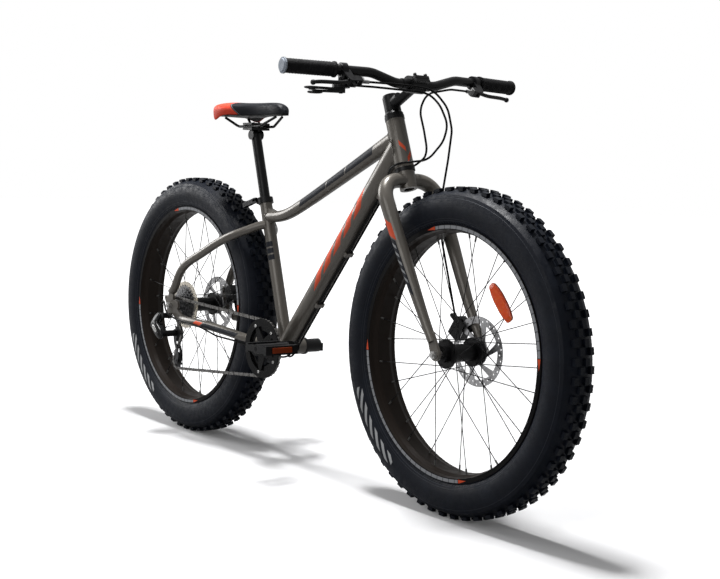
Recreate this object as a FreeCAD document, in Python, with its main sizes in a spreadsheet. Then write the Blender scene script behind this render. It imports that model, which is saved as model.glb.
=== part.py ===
import FreeCAD, Part
import math
import os
import re
import Sketcher
from types import SimpleNamespace
from FreeCAD import Placement, Rotation, Vector

# Fat tyre bike, in millimetres: X points forward, Y to the rider's left, Z up.
# The origin is on the ground, midway between the axles.

SIZES = {
    # layout of the frame and the wheels
    "wheelbase": "1133",
    "tyre_radius": "370",
    "bottom_bracket_drop": "69",
    "chainstay_length": "467",
    "seat_angle": "72.6",
    "seat_tube_length": "408",
    "head_angle": "69.5",
    "fork_rake": "57",
    "fork_length": "446",
    "head_tube_length": "120",
    "running_clearance": "0.05",
    "side_clearance": "0.4",
    # frame tubes
    "head_tube_diameter": "45",
    "headset_bore": "34",
    "top_tube_height_at_head": "59",
    "top_tube_head_diameter": "40",
    "top_tube_seat_diameter": "30",
    "down_tube_height_at_head": "57",
    "down_tube_diameter": "52",
    "seat_tube_diameter": "33",
    "tube_wall": "2",
    "bottom_bracket_diameter": "42",
    "bottom_bracket_width": "100",
    "bottom_bracket_bore": "34",
    "stay_diameter": "23",
    "stay_wall": "3",
    "dropout_thickness": "7",
    "dropout_boss_diameter": "32",
    "eyelet_diameter": "14",
    "eyelet_bore": "5",
    "gusset_thickness": "16",
    "guide_width": "24",
    "guide_height": "8",
    "guide_length": "12",
    # headset, fork and stem
    "cup_diameter": "47",
    "cup_height": "9",
    "cup_depth": "14",
    "steerer_diameter": "28.6",
    "steerer_wall": "2.4",
    "crown_diameter": "42",
    "crown_height": "42",
    "blade_top_diameter": "35",
    "blade_low_diameter": "21",
    "blade_spread": "80",
    "blade_wall": "2.5",
    "top_cover_height": "12",
    "stem_clamp_height": "36",
    "stem_clamp_diameter": "39",
    "stem_cap_height": "5",
    "stem_length": "92",
    "stem_rise": "7.4",
    "stem_diameter": "31",
    "bar_clamp_width": "44",
    "bar_clamp_diameter": "40",
    "clamp_bolt_diameter": "5",
    # handlebar and its controls
    "bar_centre_diameter": "25.4",
    "bar_diameter": "22.2",
    "bar_wall": "2.2",
    "bar_half_width": "344",
    "bar_rise": "19",
    "bar_sweep": "9",
    "grip_diameter": "32",
    "grip_length": "128",
    "grip_plug_depth": "3",
    "lever_clamp_diameter": "33",
    "lever_clamp_width": "14",
    "lever_tilt": "45",
    "lever_pivot_offset": "34",
    "lever_length": "98",
    "lever_thickness": "11",
    "lever_pin_diameter": "5",
    "lever_pivot_inset": "8",
    "perch_gap": "20",
    "perch_slot": "26",
    "perch_thickness": "18",
    "perch_end_diameter": "16",
    "barrel_adjuster_diameter": "9",
    "barrel_length": "20",
    "pod_diameter": "40",
    "pod_height": "15",
    "pod_setback": "6",
    "pod_drop": "24",
    "pod_pin_diameter": "8",
    "shift_lever_length": "72",
    "shift_lever_thickness": "5",
    "shift_knob_diameter": "15",
    # wheels
    "tyre_width": "99",
    "tyre_wall": "4",
    "tread_depth": "6",
    "tread_pitches": "60",
    "inner_tube_wall": "1.2",
    "rim_radius": "285.5",
    "rim_width": "80",
    "rim_wall": "3",
    "rim_depth": "17",
    "spoke_count": "32",
    "spoke_diameter": "2",
    "spoke_circle_diameter": "57",
    "nipple_diameter": "4.4",
    "nipple_length": "12",
    "flange_diameter": "66",
    "flange_thickness": "4",
    "barrel_diameter": "40",
    "rotor_seat_diameter": "52",
    "rotor_pilot_diameter": "34",
    "hub_end_diameter": "38",
    "hub_bearing_diameter": "26",
    "hub_bearing_width": "9",
    "hub_core_diameter": "18",
    "axle_diameter": "10",
    "axle_cone_diameter": "17",
    "axle_nut_diameter": "18",
    "axle_nut_height": "8",
    "front_spacing": "135",
    "front_hub_length": "116",
    "front_flange_right": "17",
    "front_flange_left": "96",
    "front_rotor_seat": "112",
    "rear_spacing": "170",
    "rear_hub_length": "117",
    "rear_flange_right": "10",
    "rear_flange_left": "92",
    "rear_rotor_seat": "110",
    "rear_hub_offset": "42",
    "rotor_diameter": "160",
    "rotor_thickness": "1.8",
    "reflector_length": "96",
    "reflector_width": "30",
    "reflector_thickness": "8",
    "reflector_radius": "199",
    # brakes
    "caliper_width": "30",
    "caliper_inside": "9",
    "caliper_depth": "34",
    "caliper_length": "46",
    "caliper_slot": "5.6",
    "brake_pad_thickness": "1.5",
    "bracket_thickness": "8",
    "bracket_diameter": "16",
    "brake_pin_diameter": "6",
    "brake_arm_length": "34",
    "brake_arm_thickness": "5",
    "cable_diameter": "5",
    "cable_stop_distance": "36",
    "cable_bend_radius": "60",
    # drive
    "chain_pitch": "12.7",
    "roller_diameter": "7.7",
    "chain_line": "74",
    "chainring_teeth": "36",
    "chainring_thickness": "2.2",
    "sprocket_thickness": "2",
    "sprocket_spacing": "5",
    "pulley_teeth": "11",
    "pulley_thickness": "2.2",
    "pulley_distance": "80",
    "freehub_diameter": "34",
    "sprocket_boss_diameter": "36",
    "spoke_guard_diameter": "136",
    "spoke_guard_thickness": "1.6",
    "crank_length": "168",
    "crank_angle": "9",
    "crank_boss_diameter": "36",
    "crank_end_diameter": "28",
    "crank_thickness": "13",
    "crank_arm_offset": "88",
    "spindle_diameter": "24",
    "bearing_cup_width": "7",
    "spider_radius": "56",
    "spider_arms": "5",
    "spider_thickness": "4",
    "spider_end_diameter": "14",
    "guard_ring_diameter": "156",
    "guard_ring_width": "20",
    "pedal_spindle_diameter": "12",
    "pedal_length": "94",
    "pedal_width": "90",
    "pedal_height": "22",
    "pedal_barrel_diameter": "24",
    "pedal_rail": "11",
    "pedal_gap": "14",
    "pedal_reflector": "3",
    "hanger_drop": "30",
    "hanger_setback": "10",
    "derailleur_link_length": "36",
    "derailleur_link_angle": "38",
    "derailleur_link_spacing": "11",
    "derailleur_link_width": "16",
    "derailleur_link_height": "7",
    "derailleur_block": "20",
    "derailleur_pin_diameter": "4",
    "knuckle_diameter": "18",
    "cage_gap": "10",
    "cage_thickness": "2",
    "cage_end_diameter": "22",
    "cage_bolt_diameter": "6",
    "guide_pulley_drop": "79",
    "guide_pulley_lead": "17",
    # seat
    "seatpost_diameter": "27.2",
    "seatpost_wall": "2.6",
    "seatpost_insertion": "120",
    "seatpost_height": "178",
    "post_head_diameter": "26",
    "post_head_width": "34",
    "clamp_plate": "6",
    "clamp_plate_length": "44",
    "collar_diameter": "41",
    "collar_height": "15",
    "ear_length": "12",
    "ear_out": "9",
    "cam_diameter": "13",
    "cam_height": "13",
    "cam_pin_diameter": "4",
    "seat_lever_length": "48",
    "rail_diameter": "7",
    "rail_spread": "22",
    "rail_height": "28",
    "saddle_length": "278",
    "saddle_width": "152",
    "saddle_thickness": "34",
    "saddle_base_thickness": "4",
}

doc = FreeCAD.newDocument("fat_tyre_bike")
sizes = doc.addObject("Spreadsheet::Sheet", "sizes")
for row, (alias, number) in enumerate(SIZES.items(), start=1):
    sizes.set("A%d" % row, alias)
    sizes.set("B%d" % row, number)
    sizes.setAlias("B%d" % row, alias)
doc.recompute()
s = SimpleNamespace(**{alias: float(sizes.get(alias)) for alias in SIZES})
nodes = {}


# Helpers that bind document objects to the sheet


def bind(item, prop, rule):
    """Tie a property to a rule written in the sheet's words, such as tube_wall * 2."""
    item.setExpression(prop, re.sub(r"[a-z][a-z_]*", lambda word: "sizes." + word.group(), rule))


def node(label, item):
    """Name a finished sub-part, which becomes a file of that name."""
    item.Label = label
    nodes[label] = item
    return item


def part(kind, label, place, **rules):
    item = doc.addObject("Part::" + kind, label)
    for prop, rule in rules.items():
        bind(item, prop, rule)
    item.Placement = place
    return item


def along(start, direction):
    """A place whose Z axis points along a direction."""
    return Placement(start, Rotation(Vector(0, 0, 1), direction))


def framed(origin, x_axis, z_axis):
    """A place with a given Z axis and an X axis near the one given."""
    return Placement(origin, Rotation(x_axis, Vector(), z_axis, "ZXY"))


def cylinder(label, diameter, height, start, direction):
    rule = "(%s) / 2" % diameter
    return part("Cylinder", label, along(start, direction), Radius=rule, Height=height)


def box(label, length, width, height, place):
    """A box centred on a place in all three directions."""
    item = part("Box", label, place, Length=length, Width=width, Height=height)
    doc.recompute([item])
    half = Vector(item.Length.Value, item.Width.Value, item.Height.Value) * -0.5
    item.Placement = place.multiply(Placement(half, Rotation()))
    return item


def cut(label, base, *tools):
    for number, tool in enumerate(tools, start=1):
        item = doc.addObject("Part::Cut", label if number == len(tools) else label + "_trim")
        item.Base = base
        item.Tool = tool
        base = item
    return base


def fuse(label, *items):
    item = doc.addObject("Part::MultiFuse", label)
    item.Shapes = list(items)
    return item


def compound(label, *items):
    item = doc.addObject("Part::Compound", label)
    item.Links = list(items)
    return item


def ring(label, outer, inner, height, start, direction):
    blank = cylinder(label + "_blank", outer, height, start, direction)
    bore = cylinder(label + "_bore", inner, height, start, direction)
    return cut(label, blank, bore)


def solid(label, shape):
    """A sub-part whose shape is worked out from the sheet's sizes in code."""
    item = doc.addObject("Part::Feature", label)
    item.Shape = shape
    return item


def new_sketch(body, name):
    sketch = body.newObject("Sketcher::SketchObject", name)
    plane = next(f for f in body.Origin.OriginFeatures if f.Role == "XY_Plane")
    sketch.AttachmentSupport = (plane, "")
    sketch.MapMode = "FlatFace"
    return sketch


def turned(label, outline, start, direction):
    """A body turned about an axis: outline lists (distance along, radius) rules."""
    body = doc.addObject("PartDesign::Body", label)
    sketch = new_sketch(body, label + "_outline")
    count = len(outline)
    turn = 2 * math.pi / count
    corners = [Vector(50 - 40 * math.cos(turn * n), 50 + 40 * math.sin(turn * n), 0) for n in range(count)]
    for first, second in zip(corners, corners[1:] + corners[:1]):
        sketch.addGeometry(Part.LineSegment(first, second), False)
    for n in range(count):
        sketch.addConstraint(Sketcher.Constraint("Coincident", n, 2, (n + 1) % count, 1))
    for n, (distance, radius) in enumerate(outline):
        for axis, kind, rule, at in ((-2, "DistanceX", distance, 50), (-1, "DistanceY", radius, 50)):
            if rule == "0":
                sketch.addConstraint(Sketcher.Constraint("PointOnObject", n, 1, axis))
            else:
                index = sketch.addConstraint(Sketcher.Constraint(kind, -1, 1, n, 1, at))
                bind(sketch, "Constraints[%d]" % index, rule)
    turning = body.newObject("PartDesign::Revolution", label + "_turning")
    turning.Profile = sketch
    turning.ReferenceAxis = (sketch, ["H_Axis"])
    turning.Angle = 360
    body.Tip = turning
    body.Placement = Placement(start, Rotation(Vector(1, 0, 0), direction))
    return body


def strap(label, first, second, first_diameter, second_diameter, thickness, normal):
    """A flat link with a round end about each of two points, standing up along normal."""
    body = doc.addObject("PartDesign::Body", label)
    sketch = new_sketch(body, label + "_outline")
    length = (second - first).Length
    flat = Vector(0, 0, 1)
    ends = ((Vector(0, 0, 0), 90, 270), (Vector(length, 0, 0), 270, 450))
    for centre, low, high in ends:
        circle = Part.Circle(centre, flat, length / 4)
        sketch.addGeometry(Part.ArcOfCircle(circle, math.radians(low), math.radians(high)), False)
    for side in (1, -1):
        edge = Part.LineSegment(Vector(0, side * length / 4, 0), Vector(length, side * length / 4, 0))
        sketch.addGeometry(edge, False)
    sketch.addConstraint(Sketcher.Constraint("Tangent", 0, 1, 2, 1))
    sketch.addConstraint(Sketcher.Constraint("Tangent", 0, 2, 3, 1))
    sketch.addConstraint(Sketcher.Constraint("Tangent", 1, 2, 2, 2))
    sketch.addConstraint(Sketcher.Constraint("Tangent", 1, 1, 3, 2))
    sketch.addConstraint(Sketcher.Constraint("Coincident", 0, 3, -1, 1))
    sketch.addConstraint(Sketcher.Constraint("PointOnObject", 1, 3, -1))
    sketch.addConstraint(Sketcher.Constraint("DistanceX", -1, 1, 1, 3, length))
    for arc, diameter in ((0, first_diameter), (1, second_diameter)):
        index = sketch.addConstraint(Sketcher.Constraint("Radius", arc, length / 4))
        bind(sketch, "Constraints[%d]" % index, "(%s) / 2" % diameter)
    pad = body.newObject("PartDesign::Pad", label + "_pad")
    pad.Profile = sketch
    bind(pad, "Length", thickness)
    body.Tip = pad
    body.Placement = framed(first, second - first, normal)
    return body


def tube(label, stations, reference):
    """A tube lofted through circles: stations lists (centre, diameter rule)."""
    centres = [centre for centre, _ in stations]
    sections = []
    for n, (centre, diameter) in enumerate(stations):
        back = centres[max(n - 1, 0)]
        ahead = centres[min(n + 1, len(centres) - 1)]
        way = Vector(0, 0, 0)
        for piece in (centre - back, ahead - centre):
            if piece.Length > 0:
                way = way + piece / piece.Length
        place = framed(centre, reference, way)
        sections.append(part("Circle", "%s_section_%d" % (label, n), place, Radius="(%s) / 2" % diameter))
    item = doc.addObject("Part::Loft", label)
    item.Sections = sections
    item.Solid = True
    return item


def hollow_tube(label, stations, reference, wall, *tools):
    """A lofted tube with a wall, trimmed by the tubes that it meets."""
    outer = tube(label + "_outer", stations, reference)
    thinner = [(centre, "%s - 2 * %s" % (diameter, wall)) for centre, diameter in stations]
    inner = tube(label + "_inner", thinner, reference)
    return outer, cut(label, outer, inner, *tools)


def route(points, radius):
    """Straight runs joined by tangent arcs, each as wide as its runs leave room for."""
    edges = []
    start = points[0]
    for before, corner, after in zip(points, points[1:], points[2:]):
        into = (corner - before).normalize()
        out = (after - corner).normalize()
        half_turn = into.getAngle(out) / 2
        room = 0.45 * min((corner - before).Length, (after - corner).Length)
        reach = min(room, radius * math.tan(half_turn))
        if half_turn < 0.005:
            continue
        enter = corner - into * reach
        leave = corner + out * reach
        bend = reach / math.tan(half_turn)
        inward = (out - into).normalize()
        middle = corner + inward * (bend / math.cos(half_turn) - bend)
        edges.append(Part.LineSegment(start, enter).toShape())
        edges.append(Part.Arc(enter, middle, leave).toShape())
        start = leave
    edges.append(Part.LineSegment(start, points[-1]).toShape())
    return Part.Wire(edges)


def swept(label, points, radius, diameter):
    """A round bar along a route."""
    path = solid(label + "_path", route(points, radius))
    place = along(points[0], points[1] - points[0])
    section = part("Circle", label + "_section", place, Radius="(%s) / 2" % diameter)
    item = doc.addObject("Part::Sweep", label)
    item.Sections = [section]
    item.Spine = (path, ["Edge%d" % (n + 1) for n in range(len(path.Shape.Edges))])
    item.Solid = True
    return item


# Layout points that the pieces share

SIDE = Vector(0, 1, 0)
UP = Vector(0, 0, 1)
FORE = Vector(1, 0, 0)
REAR_AXLE = Vector(-s.wheelbase / 2, 0, s.tyre_radius)
FRONT_AXLE = Vector(s.wheelbase / 2, 0, s.tyre_radius)
RUN = math.sqrt(s.chainstay_length ** 2 - s.bottom_bracket_drop ** 2)
CRANK_AXIS = REAR_AXLE + Vector(RUN, 0, -s.bottom_bracket_drop)
SEAT_WAY = Vector(-math.cos(math.radians(s.seat_angle)), 0, math.sin(math.radians(s.seat_angle)))
SEAT_TOP = CRANK_AXIS + SEAT_WAY * s.seat_tube_length
STEER_WAY = Vector(-math.cos(math.radians(s.head_angle)), 0, math.sin(math.radians(s.head_angle)))
STEER_FORE = Vector(STEER_WAY.z, 0, -STEER_WAY.x)
STEER_FOOT = FRONT_AXLE - STEER_FORE * s.fork_rake
HEAD_LOW = s.fork_length + s.side_clearance + s.cup_height
HEAD_TOP = HEAD_LOW + s.head_tube_length
COVER_LOW = HEAD_TOP + s.cup_height + s.side_clearance
STEM_LOW = COVER_LOW + s.top_cover_height
STEM_TOP = STEM_LOW + s.stem_clamp_height
STEM_RISE = math.radians(s.stem_rise)
SIDES = (("right", -1), ("left", 1))


def steer(height, fore=0, side=0):
    """A point measured up the steering axis from the foot nearest the front axle."""
    return STEER_FOOT + STEER_WAY * height + STEER_FORE * fore + SIDE * side


BAR = steer((STEM_LOW + STEM_TOP) / 2) + (
    STEER_FORE * math.cos(STEM_RISE) + STEER_WAY * math.sin(STEM_RISE)
) * s.stem_length


# Main frame tubes, each cut to the outside of the tube that it meets


def main_frame():
    head_start = steer(HEAD_LOW)
    head_fill = cylinder("head_fill", "head_tube_diameter", "head_tube_length", head_start, STEER_WAY)
    head_bore = cylinder("head_bore", "headset_bore", "head_tube_length", head_start, STEER_WAY)
    node("head_tube", cut("head_tube", head_fill, head_bore))
    shell_start = CRANK_AXIS - SIDE * s.bottom_bracket_width / 2
    shell_sizes = ("bottom_bracket_width", shell_start, SIDE)
    shell_fill = cylinder("shell_fill", "bottom_bracket_diameter", *shell_sizes)
    shell_bore = cylinder("shell_bore", "bottom_bracket_bore", *shell_sizes)
    node("bottom_bracket_shell", cut("bottom_bracket_shell", shell_fill, shell_bore))
    seat_fill = cylinder("seat_fill", "seat_tube_diameter", "seat_tube_length", CRANK_AXIS, SEAT_WAY)
    down_end = steer(HEAD_LOW + s.down_tube_height_at_head)
    down_way = (down_end - CRANK_AXIS).normalize()
    down_stations = [(CRANK_AXIS, "down_tube_diameter"), (down_end, "down_tube_diameter")]
    trims = (shell_fill, seat_fill, head_fill)
    down_outer, down = hollow_tube("down_tube_bare", down_stations, SIDE, "tube_wall", *trims)
    node("down_tube", fuse("down_tube", down, *cable_guides(down_way)))
    top_outer, top = hollow_tube(
        "top_tube", top_tube_stations(), SIDE, "tube_wall", head_fill, seat_fill, down_outer
    )
    node("top_tube", top)
    gusset = cut("gusset", gusset_blank(), top_outer, seat_fill)
    post_bore = cylinder(
        "post_bore", "seatpost_diameter + 2 * running_clearance", "seat_tube_length", CRANK_AXIS, SEAT_WAY
    )
    seat = cut("seat_tube_bare", seat_fill, post_bore, shell_fill)
    node("seat_tube", fuse("seat_tube", seat, gusset))
    return shell_fill, seat_fill, top_outer


def seat_point(height):
    """A point on the seat tube's axis at a height above the crank axis."""
    return CRANK_AXIS + SEAT_WAY * (height / SEAT_WAY.z)


def top_tube_stations():
    """The top tube slopes down from the head tube and sweeps level to the seat tube."""
    head = steer(HEAD_LOW + s.top_tube_height_at_head + s.top_tube_head_diameter / 2)
    seat = seat_point(0.865 * s.seat_tube_length * SEAT_WAY.z)
    run = head - seat
    knee = 0.15
    softness = 0.09
    count = 14
    stations = []
    for n in range(count + 1):
        share = 1 - n / count
        rise = (math.hypot(share - knee, softness) + share - knee) / 2 / (1 - knee)
        centre = seat + Vector(run.x * share, 0, run.z * rise)
        blend = "top_tube_seat_diameter + %.3f * (top_tube_head_diameter - top_tube_seat_diameter)"
        stations.append((centre, blend % share ** 2))
    return stations


def gusset_blank():
    """A wedge that fills the corner above the top tube, in front of the seat tube."""
    top = SEAT_TOP - SEAT_WAY * s.collar_height * 1.4
    low = SEAT_TOP - SEAT_WAY * s.seat_tube_length * 0.13
    tip = low + FORE * s.seat_tube_length * 0.23
    half = SIDE * (s.gusset_thickness / 2)
    corners = [point - half for point in (top, low, tip, top)]
    return solid("gusset_blank", Part.Face(Part.makePolygon(corners)).extrude(half * 2))


def cable_guides(down_way):
    """Saddles under the down tube that hold the two cables side by side."""
    under = Vector(down_way.z, 0, -down_way.x)
    guides = []
    for number, share in enumerate((0.28, 0.55, 0.84)):
        centre = CRANK_AXIS + down_way * (share * (steer(HEAD_LOW) - CRANK_AXIS).Length)
        out = (s.down_tube_diameter + s.guide_height) / 2 - s.tube_wall / 2
        place = framed(centre + under * out, down_way, under)
        guide = box("guide_%d" % number, "guide_length", "guide_width", "guide_height", place)
        for name, side in SIDES:
            hole = CRANK_AXIS + under * cable_out() + SIDE * side * s.guide_width / 4
            bore = cylinder("guide_%d_%s" % (number, name), "cable_diameter", "wheelbase", hole, down_way)
            guide = cut("guide_%d_bored_%s" % (number, name), guide, bore)
        guides.append(guide)
    return guides


def cable_out():
    """How far the cables run from the down tube's axis."""
    return (s.down_tube_diameter + s.cable_diameter) / 2 + s.side_clearance


# Rear triangle: stays that spread round the tyre, with a plate dropout on each side

DROPOUT_IN = s.rear_spacing / 2
STAY_OUT = DROPOUT_IN + s.dropout_thickness / 2
CHAINSTAY_END = REAR_AXLE + Vector(62, 0, -34)
SEATSTAY_END = REAR_AXLE + Vector(2, 0, 40)
EYELET = REAR_AXLE + Vector(-25, 0, 20)
HANGER = REAR_AXLE + Vector(-s.hanger_setback, 0, -s.hanger_drop)


def rear_stays(shell_fill, seat_fill, top_outer):
    axle_hole_start = REAR_AXLE - SIDE * s.rear_spacing
    axle_hole = cylinder("rear_axle_hole", "axle_diameter", "2 * rear_spacing", axle_hole_start, SIDE)
    chainstays = []
    seatstays = []
    for name, side in SIDES:
        out = SIDE * side
        room = cylinder(
            "cup_room_" + name, "bottom_bracket_diameter + 2 * stay_wall", "2 * bearing_cup_width",
            CRANK_AXIS + out * (s.bottom_bracket_width / 2 - s.side_clearance), out,
        )
        stations = chainstay_stations(out)
        bare = hollow_tube("chainstay_bare_" + name, stations, UP, "stay_wall", shell_fill, room)[1]
        plate = dropout(name, out)
        stay = fuse("chainstay_%s_welded" % name, bare, plate)
        eyelet_start = EYELET + out * (DROPOUT_IN - s.dropout_thickness)
        eyelet_hole = cylinder("eyelet_hole_" + name, "eyelet_bore", "rear_spacing", eyelet_start, out)
        chainstays.append(cut("chainstay_" + name, stay, axle_hole, eyelet_hole))
        seatstays.append(
            hollow_tube(
                "seatstay_" + name, seatstay_stations(out), SIDE + UP, "stay_wall", seat_fill, top_outer, plate
            )[1]
        )
    node("chainstays", compound("chainstays", *chainstays))
    node("seatstays", compound("seatstays", *seatstays))


def chainstay_stations(out):
    """From the crank shell back past the tyre to the dropout."""
    start = CRANK_AXIS + Vector(-4, 0, 0)
    run = CHAINSTAY_END - start
    spread = ((0, 0.42), (0.18, 0.6), (0.34, 0.74), (0.56, 0.86), (0.8, 1), (1, 1))
    stations = []
    for share, width in spread:
        rise = math.sin(share * math.pi / 2)
        centre = start + Vector(run.x * share, 0, run.z * rise) + out * (STAY_OUT * width)
        stations.append((centre, "stay_diameter"))
    return stations


def seatstay_stations(out):
    """From the seat tube, wide round the tyre, then down to the dropout."""
    start = seat_point(0.82 * s.seat_tube_length * SEAT_WAY.z)
    run = SEATSTAY_END - start
    shape = (
        (0, 0, 0.1),
        (0.1, 0.07, 0.45),
        (0.22, 0.155, 0.7),
        (0.4, 0.28, 0.84),
        (0.62, 0.46, 0.93),
        (0.79, 0.6, 0.98),
        (0.89, 0.76, 1),
        (1, 1, 1),
    )
    return [
        (start + Vector(run.x * back, 0, run.z * drop) + out * (STAY_OUT * width), "stay_diameter")
        for back, drop, width in shape
    ]


def dropout(name, out):
    """A plate from stay to stay with a boss at the axle, an eyelet and, on the right, the hanger."""
    base = out * (DROPOUT_IN if out.y > 0 else DROPOUT_IN + s.dropout_thickness)
    thick = "dropout_thickness"
    stay = "stay_diameter"
    boss = "dropout_boss_diameter"
    in_wall = "stay_diameter - stay_wall"
    pieces = [
        strap("dropout_arm_low_" + name, CHAINSTAY_END + base, REAR_AXLE + base, in_wall, boss, thick, SIDE),
        strap("dropout_arm_high_" + name, SEATSTAY_END + base, REAR_AXLE + base, stay, boss, thick, SIDE),
        strap("eyelet_" + name, EYELET + base, REAR_AXLE + base, "eyelet_diameter", boss, thick, SIDE),
    ]
    middle = (CHAINSTAY_END + SEATSTAY_END) * 0.5 + base + Vector(-4, 0, 0)
    pieces.append(strap("dropout_web_" + name, middle, REAR_AXLE + base, boss, boss, thick, SIDE))
    if out.y < 0:
        pieces.append(strap("hanger", HANGER + base, REAR_AXLE + base, "eyelet_diameter + 6", boss, thick, SIDE))
    return fuse("dropout_" + name, *pieces)


# Headset, fork, stem and handlebar


def headset():
    """Cups pressed into the head tube, whose bearings carry the steerer."""
    bore = "steerer_diameter / 2 + running_clearance"
    outline = [
        ("0", bore),
        ("0", "cup_diameter / 2"),
        ("cup_height", "cup_diameter / 2"),
        ("cup_height", "headset_bore / 2"),
        ("cup_height + cup_depth", "headset_bore / 2"),
        ("cup_height + cup_depth", bore),
    ]
    low = turned("lower_cup", outline, steer(s.fork_length + s.side_clearance), STEER_WAY)
    high = turned("upper_cup", outline, steer(COVER_LOW - s.side_clearance), STEER_WAY * -1)
    node("headset_cups", compound("headset_cups", low, high))


CROWN_LOW = s.fork_length - s.crown_height
CROWN_MIDDLE = s.fork_length - s.crown_height / 2
DROPOUT_FRONT = s.front_spacing / 2


def fork():
    """A crown with its steerer, and two blades that curve out of it to the dropouts."""
    steerer = "steerer_diameter / 2"
    bore = "steerer_diameter / 2 - steerer_wall"
    crown = "crown_diameter / 2"
    stack = "2 * side_clearance + 2 * cup_height + head_tube_length"
    length = "crown_height + top_cover_height + stem_clamp_height + " + stack
    outline = [
        ("0", bore),
        ("0", crown),
        ("crown_height", crown),
        ("crown_height", steerer),
        (length, steerer),
        (length, bore),
    ]
    centre = turned("fork_crown", outline, steer(CROWN_LOW), STEER_WAY)
    crown_fill = cylinder("crown_fill", "crown_diameter", "crown_height", steer(CROWN_LOW), STEER_WAY)
    hole_start = FRONT_AXLE - SIDE * s.front_spacing
    axle_hole = cylinder("front_axle_hole", "axle_diameter", "2 * front_spacing", hole_start, SIDE)
    blades = []
    for name, side in SIDES:
        outer, bare = hollow_tube("blade_bare_" + name, blade_stations(side), STEER_FORE, "blade_wall")
        base = SIDE * (DROPOUT_FRONT if side > 0 else -DROPOUT_FRONT - s.dropout_thickness)
        tip = steer(44, s.fork_rake - 3) + base
        plate = strap(
            "fork_dropout_" + name, tip, FRONT_AXLE + base, "blade_low_diameter",
            "dropout_boss_diameter - 4", "dropout_thickness", SIDE,
        )
        blade = fuse("blade_welded_" + name, bare, plate)
        blades.append(cut("blade_" + name, blade, axle_hole, crown_fill))
    node("fork", compound("fork", centre, *blades))


def blade_stations(side):
    """Out of the crown's side, round a shoulder and down to the dropout."""
    spread = s.blade_spread
    low = DROPOUT_FRONT + s.dropout_thickness / 2
    top = "blade_top_diameter"
    foot = "blade_low_diameter"
    return [
        (steer(CROWN_MIDDLE, 0, side * 8), top),
        (steer(CROWN_MIDDLE, 0, side * 34), top),
        (steer(CROWN_MIDDLE - 8, 1, side * (spread - 22)), top),
        (steer(CROWN_MIDDLE - 30, 4, side * (spread - 4)), top),
        (steer(CROWN_MIDDLE - 60, 8, side * spread), top),
        (steer(CROWN_MIDDLE - 110, 15, side * spread), "%s - 1" % top),
        (steer(0.4 * CROWN_MIDDLE, s.fork_rake - 24, side * (spread + low) / 2), "(%s + %s) / 2" % (top, foot)),
        (steer(0.2 * CROWN_MIDDLE, s.fork_rake - 12, side * (spread * 0.2 + low * 0.8)), foot + " + 2"),
        (steer(30, s.fork_rake - 2, side * low), foot),
    ]


def stem():
    """A clamp on the steerer, an extension, and a bar clamp with a bolted cap."""
    middle = steer((STEM_LOW + STEM_TOP) / 2)
    way = (BAR - middle).normalize()
    rise = Vector(-way.z, 0, way.x)
    clamp = cylinder("stem_clamp", "stem_clamp_diameter", "stem_clamp_height", steer(STEM_LOW), STEER_WAY)
    arm = tube("stem_arm", [(middle, "stem_diameter"), (BAR, "stem_diameter - 3")], SIDE)
    bar_clamp_start = BAR - SIDE * s.bar_clamp_width / 2
    seat = cylinder("bar_seat", "bar_clamp_diameter", "bar_clamp_width", bar_clamp_start, SIDE)
    steerer_hole = cylinder("stem_bore", "steerer_diameter", "4 * stem_clamp_height", steer(HEAD_TOP), STEER_WAY)
    bar_hole = cylinder("bar_bore", "bar_centre_diameter", "2 * bar_clamp_width", BAR - SIDE * s.bar_clamp_width, SIDE)
    lip_out = s.bar_clamp_diameter / 2 + s.clamp_bolt_diameter
    split = framed(BAR, way, rise)
    half = Vector(lip_out * 0.5, 0, 0)
    lip_place = split.multiply(Placement(half, Rotation()))
    lip_sizes = ("bar_clamp_diameter / 2 + 3 * clamp_bolt_diameter", "bar_clamp_width - 2", "clamp_bolt_diameter * 3")
    lip = box("bar_lip", *lip_sizes, lip_place)
    bolts = [clamp_bolt(name, side, split, lip_out) for name, side in SIDES]
    block = fuse("stem_block", clamp, arm, seat, lip)
    bored = cut("stem_bored", block, steerer_hole, bar_hole, *[hole for hole, _ in bolts])
    reach = s.bar_clamp_diameter * 2
    room = split.multiply(Placement(Vector(0, 0, reach / 2 - 0.5), Rotation()))
    above = box("above_split", "bar_clamp_diameter * 3", "bar_clamp_width * 2", "bar_clamp_diameter * 2", room)
    lower = cut("stem_body", bored, above)
    cap_block = fuse("cap_block", seat, lip)
    cap_bored = cut("cap_bored", cap_block, bar_hole, *[hole for hole, _ in bolts])
    room = split.multiply(Placement(Vector(0, 0, -reach / 2 + 0.5), Rotation()))
    below = box("below_split", "bar_clamp_diameter * 3", "bar_clamp_width * 2", "bar_clamp_diameter * 2", room)
    cap = cut("stem_cap", cap_bored, below)
    node("stem", compound("stem", lower, cap, *[bolt for _, bolt in bolts]))


def clamp_bolt(name, side, split, out):
    """One of the two bolts that close the cap, with its head standing on the lip."""
    turn = split.Rotation
    axis = turn.multVec(UP)
    low = split.multVec(Vector(out, side * s.bar_clamp_width * 0.36, -s.clamp_bolt_diameter * 1.5))
    shank = cylinder("clamp_shank_" + name, "clamp_bolt_diameter", "clamp_bolt_diameter * 3", low, axis)
    under = low - axis * s.clamp_bolt_diameter
    hole = cylinder("clamp_hole_" + name, "clamp_bolt_diameter", "clamp_bolt_diameter * 5", under, axis)
    top = low + axis * (s.clamp_bolt_diameter * 3)
    head = cylinder("clamp_head_" + name, "clamp_bolt_diameter * 1.7", "clamp_bolt_diameter", top, axis)
    return hole, fuse("clamp_bolt_" + name, shank, head)


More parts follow.
